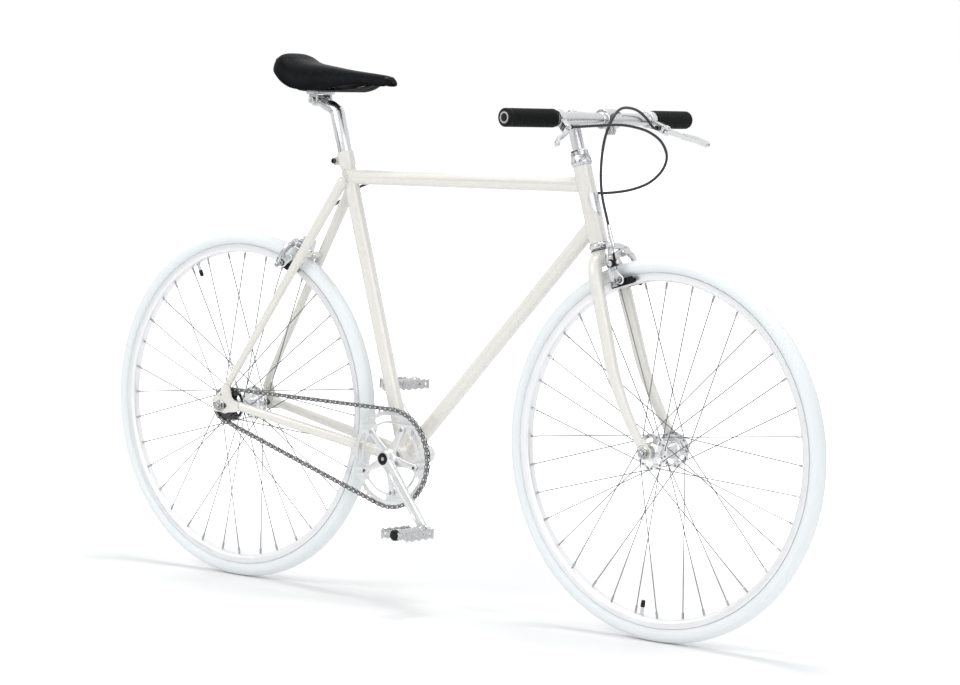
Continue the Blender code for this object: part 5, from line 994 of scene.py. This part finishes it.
for word, brake, mount_body, hands in (("front", front_brake, "fork", ("left", "right")),
                                       ("rear", rear_brake, "frame", ("right", "left"))):
    dress(word + "_brake_mount", alloy, 0.0006, 30)
    centre_arm, side_arm = (f"{word}_arm_{hand}" for hand in hands)
    for hand, sign, layer in zip(hands, (1, -1), (brake.front_layer, brake.rear_layer)):
        body = f"{word}_arm_{hand}"
        dress(f"{word}_caliper_arm_{hand}", alloy, 0.0011, 30)
        outward = brake.side * sign
        foot = brake.at(0, -brake.drop(layer), layer)
        middle = brake.axle + Matrix.Rotation(PAD_AHEAD / TRACK_RADIUS, 3, across) @ (
            foot + outward * 0.017 - brake.axle)
        radial = middle - brake.axle
        radial.y = 0
        radial.normalize()
        pad_axes = (radial, across, across.cross(radial))
        pad = block(facing(middle - outward * 0.0012, *pad_axes), PAD, 0.0009)
        piece(f"{word}_pad_rubber_{hand}", pad, pad_rubber, body, 35, f"{word}_pad_{hand}")
        cheek_spot = middle + outward * 0.0105 + radial * 0.006 + brake.out * 0.002
        cheek = stamped([strap([(0, 0), (-0.011, 0.02)], [0.017, 0.011])], 0.0032,
                        facing(cheek_spot, brake.out, brake.up, -brake.side), 0.0009)
        piece(f"{word}_pad_cheek_{hand}", cheek, crank_alloy, body, 35)
        lathed(f"{word}_pad_washer_{hand}", cap_black, body, 35,
               ([(4.4, 1.4), (5.6, 1.4), (5.6, 2.1), (4.4, 2.1)], cheek_spot, outward, 28),
               ([(0, 5.4), (1.7, 5.4), (1.7, 5.9), (0, 5.9)], cheek_spot, outward, 6))
        holder = block(facing(middle + outward * 0.0029 + radial * 0.0015, *pad_axes), HOLDER, 0.0009)
        piece(f"{word}_pad_holder_{hand}", holder, cap_black, body, 35)
        lathed(f"{word}_pad_bolt_{hand}", chrome, body, 30,
               ([(0, 19), (2.8, 19), (2.8, 36.2), (0, 36.2)], foot, outward, 16),
               ([(0, 35.8), (5.2, 35.8), (5.6, 36.4), (5.6, 37), (0, 37)], foot, outward, 28),
               ([(0, 37), (4.4, 37), (4.6, 37.4), (4.2, 39.2), (3.6, 39.8), (0, 39.8)], foot, outward, 6),
               ([(0, 2), (4.2, 2), (4.4, 2.4), (4.2, 5), (3.6, 5.6), (0, 5.6)], cheek_spot, outward, 6))
    lathed(word + "_cable_boot", cap_black, centre_arm, 35, (
        [(1, -15), (1.7, -15), (1.7, 0), (1, 1)], brake.at(-0.0308, 0, brake.tower), brake.up, 20))
    clamp_spot = brake.at(-0.036, -0.0185, brake.front_layer + 0.0015)
    clamp = block(facing(clamp_spot, brake.side, brake.up, brake.out), CABLE_CLAMP, 0.0016)
    piece(word + "_cable_clamp", clamp, cap_black, centre_arm, 35)
    lathed(word + "_cable_clamp_nut", crank_alloy, centre_arm, 30,
           ([(0, 6.2), (4.6, 6.2), (5.2, 6.7), (5.2, 10), (4.4, 10.7), (2.2, 10.7), (2, 9.2), (0, 9.2)],
            clamp_spot, -brake.side, 6),
           ([(0, 9), (3.4, 9), (3.8, 9.5), (3.8, 12.2), (3.2, 12.8), (0, 12.8)], clamp_spot, brake.out, 6))
    lathed(word + "_brake_fixings", chrome, mount_body, 30,
           ([(0, 8), (4.6, 8), (4.6, 11.2), (4, 12), (0, 12)], brake.at(0, 0, brake.front_layer - 0.0005),
            brake.out, 6),
           ([(0, -0.6), (5.2, -0.6), (5.6, 0), (5.6, 0.6), (0, 0.6)],
            brake.at(0.022, 0.008, brake.rear_layer + 0.0038), brake.out, 28),
           ([(0, 0), (4.6, 0), (4.6, 2.6), (3.8, 3.2), (0, 3.2)],
            brake.at(0.022, 0.008, brake.rear_layer + 0.0042), brake.out, 6))
    lathed(word + "_adjuster", alloy, side_arm, 30, (
        [(2.3, 27), (4.6, 27), (5, 27.6), (5, 31), (4.6, 31.6), (4, 32), (4, 39.2), (2.3, 40)],
        brake.at(CABLE_SIDE, 0, brake.tower), brake.up, 24))
lathed("front_brake_nut", chrome, "fork", 30,
       ([(0, 16.5), (6.6, 16.5), (6.8, 17), (6.8, 18.2), (0, 18.2)], front_brake.bolt, -steer_forward, 28),
       ([(0, 18.2), (5.4, 18.2), (5.6, 18.7), (5.2, 23.6), (4.4, 24.2), (0, 24.2)], front_brake.bolt,
        -steer_forward, 6))
lathed("rear_brake_nut", chrome, "frame", 30, (
    [(0, 4.8), (6.2, 4.8), (6.6, 5.4), (6.4, 8), (5, 8.6), (3, 8.6), (2.8, 7), (0, 7)],
    rear_brake.bolt, -rear_brake.out, 28))


# Brake cables
# Steel inner wires in a black plastic housing, with a bright ferrule at each end. The front one hangs
# in front of the head; the rear one loops round to the top tube and runs on to the rear brake.

housing = finish("cable_housing", (0.035, 0.036, 0.04), 0.4, specular=0.35,
                 drift=(0.34, 0.48, 250.0))


def beside(spot, *places):
    """Points beside a spot, in millimetres from it."""
    return [spot + Vector(place) / 1000 for place in places]


HOUSING, WIRE, CLIP_DROP, CLIP_REACH = 0.0025, 0.0008, radians(35), 0.0171
CLIP_OFFSET = Vector((0, CLIP_REACH * cos(CLIP_DROP), -CLIP_REACH * sin(CLIP_DROP)))


def on_top_tube(*shares):
    """The housing's middle along the lower left of the top tube, from its rear end."""
    return [top_rear.lerp(top_front, share) + CLIP_OFFSET for share in shares]


def cable_stop(brake):
    return brake.at(CABLE_SIDE, 0.0403, brake.tower)


clip = on_top_tube(0.951)[0]
left_out, right_out = spouts["left"], spouts["right"]
front_route = [left_out, left_out - across * 0.012, *beside(
    bar_centre, (12, 98, 3), (11, 70, 17), (15, 30, 21), (20, 0, 14), (21, -20, -6), (17, -30, -33),
    (14, -34, -68), (14, -35, -108), (18, -33, -143)), cable_stop(front_brake) + steer_up * 0.02,
    cable_stop(front_brake)]
loop_route = [right_out, right_out + across * 0.012, *beside(
    bar_centre, (28, -80, -12), (41, -25, -9.5), (51, 8, -12.5), (63, 38, -21), (75, 60, -38),
    (81, 70, -63), (73, 70, -88), (52, 62, -111)), *beside(
    clip, (96, 36, 4.5), (63, 23, -2.5), (33, 10.5, -4.5), (12, 0, 0), (0.6, 0, 0))]
rear_route = [clip, *on_top_tube(0.925, 0.575, 0.225, 0.094), *beside(
    bike(0, 0, 0), (298, 21.5, 790), (265, 31.5, 781), (240, 35.2, 768), (211, 34.5, 751)),
    cable_stop(rear_brake) + stay_rise * 0.022, cable_stop(rear_brake)]
for name, route, body, brake in (("front_brake_cable", front_route, "fork", front_brake),
                                 ("rear_brake_cable_front", loop_route, None, None),
                                 ("rear_brake_cable", rear_route, "frame", rear_brake)):
    hose = piece(name + "_housing", sweep(smooth_path(route, 0.005), HOUSING), housing, body, 40, name)
    if not body:
        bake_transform(hose)
    if brake:
        wire = sweep([brake.at(a, b, brake.tower) for a, b in (
            (CABLE_SIDE, 0.04), (-0.029, 0.015), (-0.0305, -0.009), (-0.0312, -0.026))], WIRE, 8)
        turned([(0, -5), (1.1, -5), (1.2, 0), (0, 0)], brake.at(-0.0312, -0.0255, brake.tower), brake.up,
               10, wire)
        piece(name + "_wire", wire, spoke_steel, body)
        lathed(name + "_ferrule", chrome, body, 30, (
            [(2.6, -0.4), (3.6, -0.4), (3.6, 10), (3, 10.8), (2.6, 10.8)], cable_stop(brake), brake.up, 20))
clips = bmesh.new()
along = (top_front - top_rear).normalized()
section = mirrored([(-0.0026, 0.0052), (-0.0018, 0.0036), (0.0016, 0.0031), (0.0032, 0.0017),
                    (0.0035, 0.0)])
for share in (0.925, 0.52, 0.115):
    spot = on_top_tube(share)[0]
    outward = (spot - top_rear.lerp(top_front, share)).normalized()
    sideways = along.cross(outward)
    lofted([[spot + along * end + outward * a + sideways * b for a, b in section]
            for end in (-0.0035, 0.0035)], clips)
piece("housing_guides", clips, enamel, "frame", 60)


# Seatpost
# A polished alloy post, pressed into the seat tube and held by its collar and a socket screw. Its head
# is set back and carries the saddle clamp: two ribbed plates drawn together by one bolt.

dress("seatpost", alloy, 0.0006)
lathed("seat_binder_bolt", dark_steel, "frame", 30, (
    [(0, -14.2), (3.6, -14.2), (4.4, -13.6), (4.4, -12), (3, -12), (3, 12), (5.2, 12.2), (5.4, 12.8),
     (5.4, 16), (4.8, 16.7), (2.8, 16.7), (2.6, 14.8), (0, 14.8)],
    seat_top - seat_up * 0.0115 - seat_forward * 0.0209, -across, 24), slot="chrome")

SADDLE_TAIL, SADDLE_LENGTH, RAIL_HEIGHT, RAIL, LEATHER = 0.104, 0.275, 0.9675, 0.0035, 0.0038
CREST = ((0, 1.018), (0.02, 1.0300), (0.05, 1.0365), (0.1, 1.0345), (0.16, 1.0265), (0.24, 1.0200),
         (0.34, 1.0158), (0.45, 1.0118), (0.6, 1.0065), (0.8, 1.0010), (0.9, 0.9982), (0.95, 0.9958),
         (0.98, 0.992), (1.0, 0.985))
SKIRT = ((0, 1.009), (0.04, 1.003), (0.1, 0.992), (0.16, 0.98), (0.24, 0.97), (0.34, 0.9665),
         (0.46, 0.9688), (0.58, 0.9745), (0.7, 0.9785), (0.84, 0.9785), (0.93, 0.9765), (0.975, 0.9785),
         (1.0, 0.9845))
BREADTH = ((0, 0.028), (0.02, 0.047), (0.05, 0.0575), (0.1, 0.0645), (0.16, 0.0665), (0.24, 0.065),
           (0.33, 0.0575), (0.42, 0.047), (0.52, 0.0365), (0.65, 0.0275), (0.8, 0.0222), (0.9, 0.019),
           (0.96, 0.016), (0.985, 0.012), (1.0, 0.007))


def eased(table, at):
    """A smooth curve through a table of (place, value)."""
    k = max(i for i in range(len(table) - 1) if table[i][0] <= at or i == 0)
    (x0, y0), (x1, y1) = table[k], table[k + 1]

    def slope(i):
        before, after = table[max(i - 1, 0)], table[min(i + 1, len(table) - 1)]
        return (after[1] - before[1]) / (after[0] - before[0])
    t, run = (at - x0) / (x1 - x0), x1 - x0
    return (y0 * (1 + 2 * t) * (1 - t) ** 2 + slope(k) * run * t * (1 - t) ** 2
            + y1 * t * t * (3 - 2 * t) - slope(k + 1) * run * t * t * (1 - t))


def under(share, y, height):
    """A point at a share of the saddle's length, from tail to nose."""
    return bike(SADDLE_TAIL + SADDLE_LENGTH * share, y, height)


def saddle_point(share, side_share):
    """The saddle's upper surface: a share from tail to nose, and a share from right to left."""
    crest, skirt = eased(CREST, share), eased(SKIRT, share)
    turn = abs(side_share) * pi / 2
    wing = 0.002 * exp(-((share - 0.12) / 0.1) ** 2) * sin(2 * turn) ** 2
    return under(share, eased(BREADTH, share) * copysign(sin(turn) ** 0.7, side_share),
                 crest + wing - (crest - skirt) * (1 - max(0.0, cos(turn)) ** 1.05))


rail_black = finish("rail_black", (0.01, 0.01, 0.011), 0.3, specular=0.25,
                    drift=(0.24, 0.38, 200.0))
rail_tail = saddle_point(0.1164, 0.162) - Vector((0, 0, 0.0132))
half_rail = [rail_tail, rail_tail + Vector((0.005, -0.002, -0.028))] + [
    under(share, y, RAIL_HEIGHT + rise) for share, y, rise in (
        (0.171, 0.026, 0.0075), (0.222, 0.022, 0), (0.6, 0.022, 0), (0.69, 0.019, 0.0012),
        (0.77, 0.0135, 0.0055), (0.835, 0.0085, 0.0125), (0.88, 0.0055, 0.0205))]
rails = sweep(smooth_path(half_rail + [Vector((p.x, -p.y, p.z)) for p in reversed(half_rail)], 0.004),
              RAIL)
piece("saddle_rail_wire", rails, rail_black, "saddle")
clamp_spot = bike(0.19, 0, RAIL_HEIGHT)
cradle = clamp_spot - Vector((0, 0, 0.0205))
blocks = [block(Matrix.Translation(spot), size, edge) for spot, size, edge in (
    (clamp_spot + Vector((0, 0, 0.0028)), (0.03, 0.054, 0.0052), 0.0016),
    (clamp_spot - Vector((0, 0, 0.005)), (0.03, 0.054, 0.0072), 0.0022),
    (cradle + Vector((0, 0.02, 0.006)), (0.0215, 0.006, 0.02), 0.002),
    (cradle + Vector((0, -0.02, 0.006)), (0.0215, 0.006, 0.02), 0.002))]
crossbolt = turned([(0, -28.5), (4, -28.5), (6.2, -27.8), (6.6, -24), (3, -23.6), (3, 23.6), (6.2, 24),
                    (6.2, 28), (5.4, 29), (2.8, 29), (2.6, 26.8), (0, 26.8)], cradle, across, 24)
piece("saddle_clamp_plates", together(*blocks, crossbolt), alloy, "saddle", 35, "saddle_rails")


# Saddle
# Black leather drawn over a firm shell, wide behind and slim in front, and rolled down at the sides.
# A row of small rivets holds it at the tail, and two at the nose.

leather = finish("black_leather", (0.004, 0.0045, 0.0055), 0.42, specular=0.05,
                 tint=((0.0032, 0.0036, 0.0045), (0.0055, 0.006, 0.0075), 90.0), drift=(0.36, 0.46, 120.0),
                 grain=(1400.0, 0.00015, 0.5), detail=6.0)
cover = bmesh.new()
LONG, WIDE = 72, 40
grid = []
for i in range(LONG + 1):
    share = 0.5 * (0.5 - 0.5 * cos(pi * i / LONG)) + 0.5 * i / LONG
    grid.append([cover.verts.new(saddle_point(share, 2 * j / WIDE - 1)) for j in range(WIDE + 1)])
for i in range(LONG):
    for j in range(WIDE):
        cover.faces.new((grid[i][j], grid[i + 1][j], grid[i + 1][j + 1], grid[i][j + 1]))
bmesh.ops.recalc_face_normals(cover, faces=cover.faces)
if sum(face.normal.z for face in cover.faces) < 0:
    bmesh.ops.reverse_faces(cover, faces=cover.faces)
saddle_top = piece("saddle_leather", cover, leather, "saddle", 180, "saddle_cover")
shell = saddle_top.modifiers.new("shell", "SOLIDIFY")
shell.thickness, shell.offset = LEATHER, -1
soften(saddle_top, 0.0012, 3, 50)
rivets = bmesh.new()
for share, side_share in ((0.035, -0.55), (0.02, -0.28), (0.015, 0.0), (0.02, 0.28), (0.035, 0.55),
                          (0.955, -0.35), (0.955, 0.35)):
    spot = saddle_point(share, side_share)
    lift = (saddle_point(share + 0.01, side_share) - spot).cross(
        saddle_point(share, side_share + 0.02) - spot)
    turned([(0, 1), (1.8, 0.9), (3, 0.5), (3.5, -0.2), (3, -1), (0, -1)], spot,
           lift if lift.z > 0 else -lift, 20, rivets)
piece("saddle_rivets", rivets, rail_black, "saddle", 60)


# Studio
# A white sweep under soft lamps. The floor keeps the tyres' shadow and is otherwise white.
# Dark flags stand out of sight and give the bright metal its darker streaks.

floor_look = finish("studio_floor", (0.92, 0.92, 0.92), 0.95, specular=0.0)
tree = floor_look.node_tree
place = step(tree, "TexCoord", {}).outputs["Object"]
squeezed = step(tree, "Mapping", {"Vector": place, "Scale": (0.85, 1.25, 1.0)}).outputs["Vector"]
apart = step(tree, "VectorMath", {0: squeezed}, operation="LENGTH").outputs["Value"]
fade = step(tree, "MapRange", {"Value": apart, "From Min": 0.75, "From Max": 1.5, "To Min": 0.0,
                               "To Max": 1.0}, interpolation_type="SMOOTHSTEP").outputs["Result"]
lit = reckon("MULTIPLY", fade, step(tree, "LightPath", {}).outputs["Is Camera Ray"])
shader = tree.nodes["Principled BSDF"].inputs
shader["Emission Color"].default_value = (1.0, 1.0, 1.0, 1.0)
tree.links.new(lit, shader["Emission Strength"])


def board(name, look, wide, tall, place=(0, 0, 0), turn=(0, 0, 0)):
    """A flat board in the studio, apart from the bicycle."""
    mesh = bpy.data.meshes.new(name)
    mesh.from_pydata([(x * wide / 2, y * tall / 2, 0) for x, y in ((-1, -1), (1, -1), (1, 1), (-1, 1))],
                     [], [(0, 1, 2, 3)])
    mesh.materials.append(look)
    made = bpy.data.objects.new(name, mesh)
    made.location, made.rotation_euler = place, turn
    bpy.context.scene.collection.objects.link(made)
    return made


def aimed(place, target):
    """The turn of a lamp or a flag that looks at a target."""
    return (Vector(target) - Vector(place)).to_track_quat("-Z", "Y").to_euler()


board("floor", floor_look, 80, 80)
world = bpy.data.worlds.new("studio")
bpy.context.scene.world = world
world.use_nodes = True
tree = world.node_tree
tree.nodes.clear()
ray = step(tree, "LightPath", {}).outputs
mirrored = reckon("MAXIMUM", reckon("MAXIMUM", ray["Is Camera Ray"], ray["Is Glossy Ray"]),
                  ray["Is Transmission Ray"])
dim = step(tree, "Background", {"Color": (0.97, 0.985, 1.0, 1), "Strength": 0.62}).outputs[0]
bright = step(tree, "Background", {"Color": (1, 1, 1, 1), "Strength": 1.0}).outputs[0]
mix = step(tree, "MixShader", {0: mirrored, 1: dim, 2: bright}).outputs[0]
step(tree, "OutputWorld", {"Surface": mix})

for name, place, power, size, tone in (("key", (-1.6, -4.0, 3.8), 74.0, 2.6, (1.0, 0.99, 0.97)),
                                       ("fill", (4.4, -1.6, 2.4), 42.0, 3.0, (0.98, 0.99, 1.0)),
                                       ("top", (0.0, 0.35, 4.4), 74.0, 1.5, (1.0, 1.0, 1.0)),
                                       ("glint", (0.3, -4.4, 3.6), 9.0, 0.4, (1.0, 1.0, 1.0))):
    lamp = bpy.data.lights.new(name, "AREA")
    lamp.energy, lamp.size, lamp.color = power, size, tone
    stand = bpy.data.objects.new(name, lamp)
    stand.location, stand.rotation_euler = place, aimed(place, (0, 0, 0.5))
    bpy.context.scene.collection.objects.link(stand)

flag_look = finish("studio_flag", (0.02, 0.02, 0.02), 0.9, specular=0.0)
for name, place, wide, tall, turn in (
        ("flag_right", (4.6, 1.4, 1.2), 1.5, 3.6, aimed((4.6, 1.4, 1.2), (0, 0, 1.2))),
        ("flag_left", (-3.4, -4.6, 1.2), 1.2, 3.6, aimed((-3.4, -4.6, 1.2), (0, 0, 1.2))),
        ("flag_low", (1.8, -2.4, 0.02), 2.4, 1.0, (0, 0, radians(-38)))):
    flag = board(name, flag_look, wide, tall, place, turn)
    flag.visible_camera = flag.visible_diffuse = flag.visible_shadow = False

eye = Vector((3.7858, -4.4995, 0.9692))
swing, tip, roll = radians(39.4121), radians(4.5425), radians(1.4403)
view = Vector((-sin(swing) * cos(tip), cos(swing) * cos(tip), -sin(tip)))
right_hand = Vector((cos(swing), sin(swing), 0))
upward = right_hand.cross(view)
lens = bpy.data.cameras.new("camera")
lens.lens, lens.sensor_width = 117.81, 36.0
camera = bpy.data.objects.new("camera", lens)
camera.matrix_world = facing(eye, right_hand * cos(roll) + upward * sin(roll),
                             upward * cos(roll) - right_hand * sin(roll), -view)
bpy.context.scene.collection.objects.link(camera)
bpy.context.scene.camera = camera
bpy.context.scene.view_settings.view_transform = "Standard"
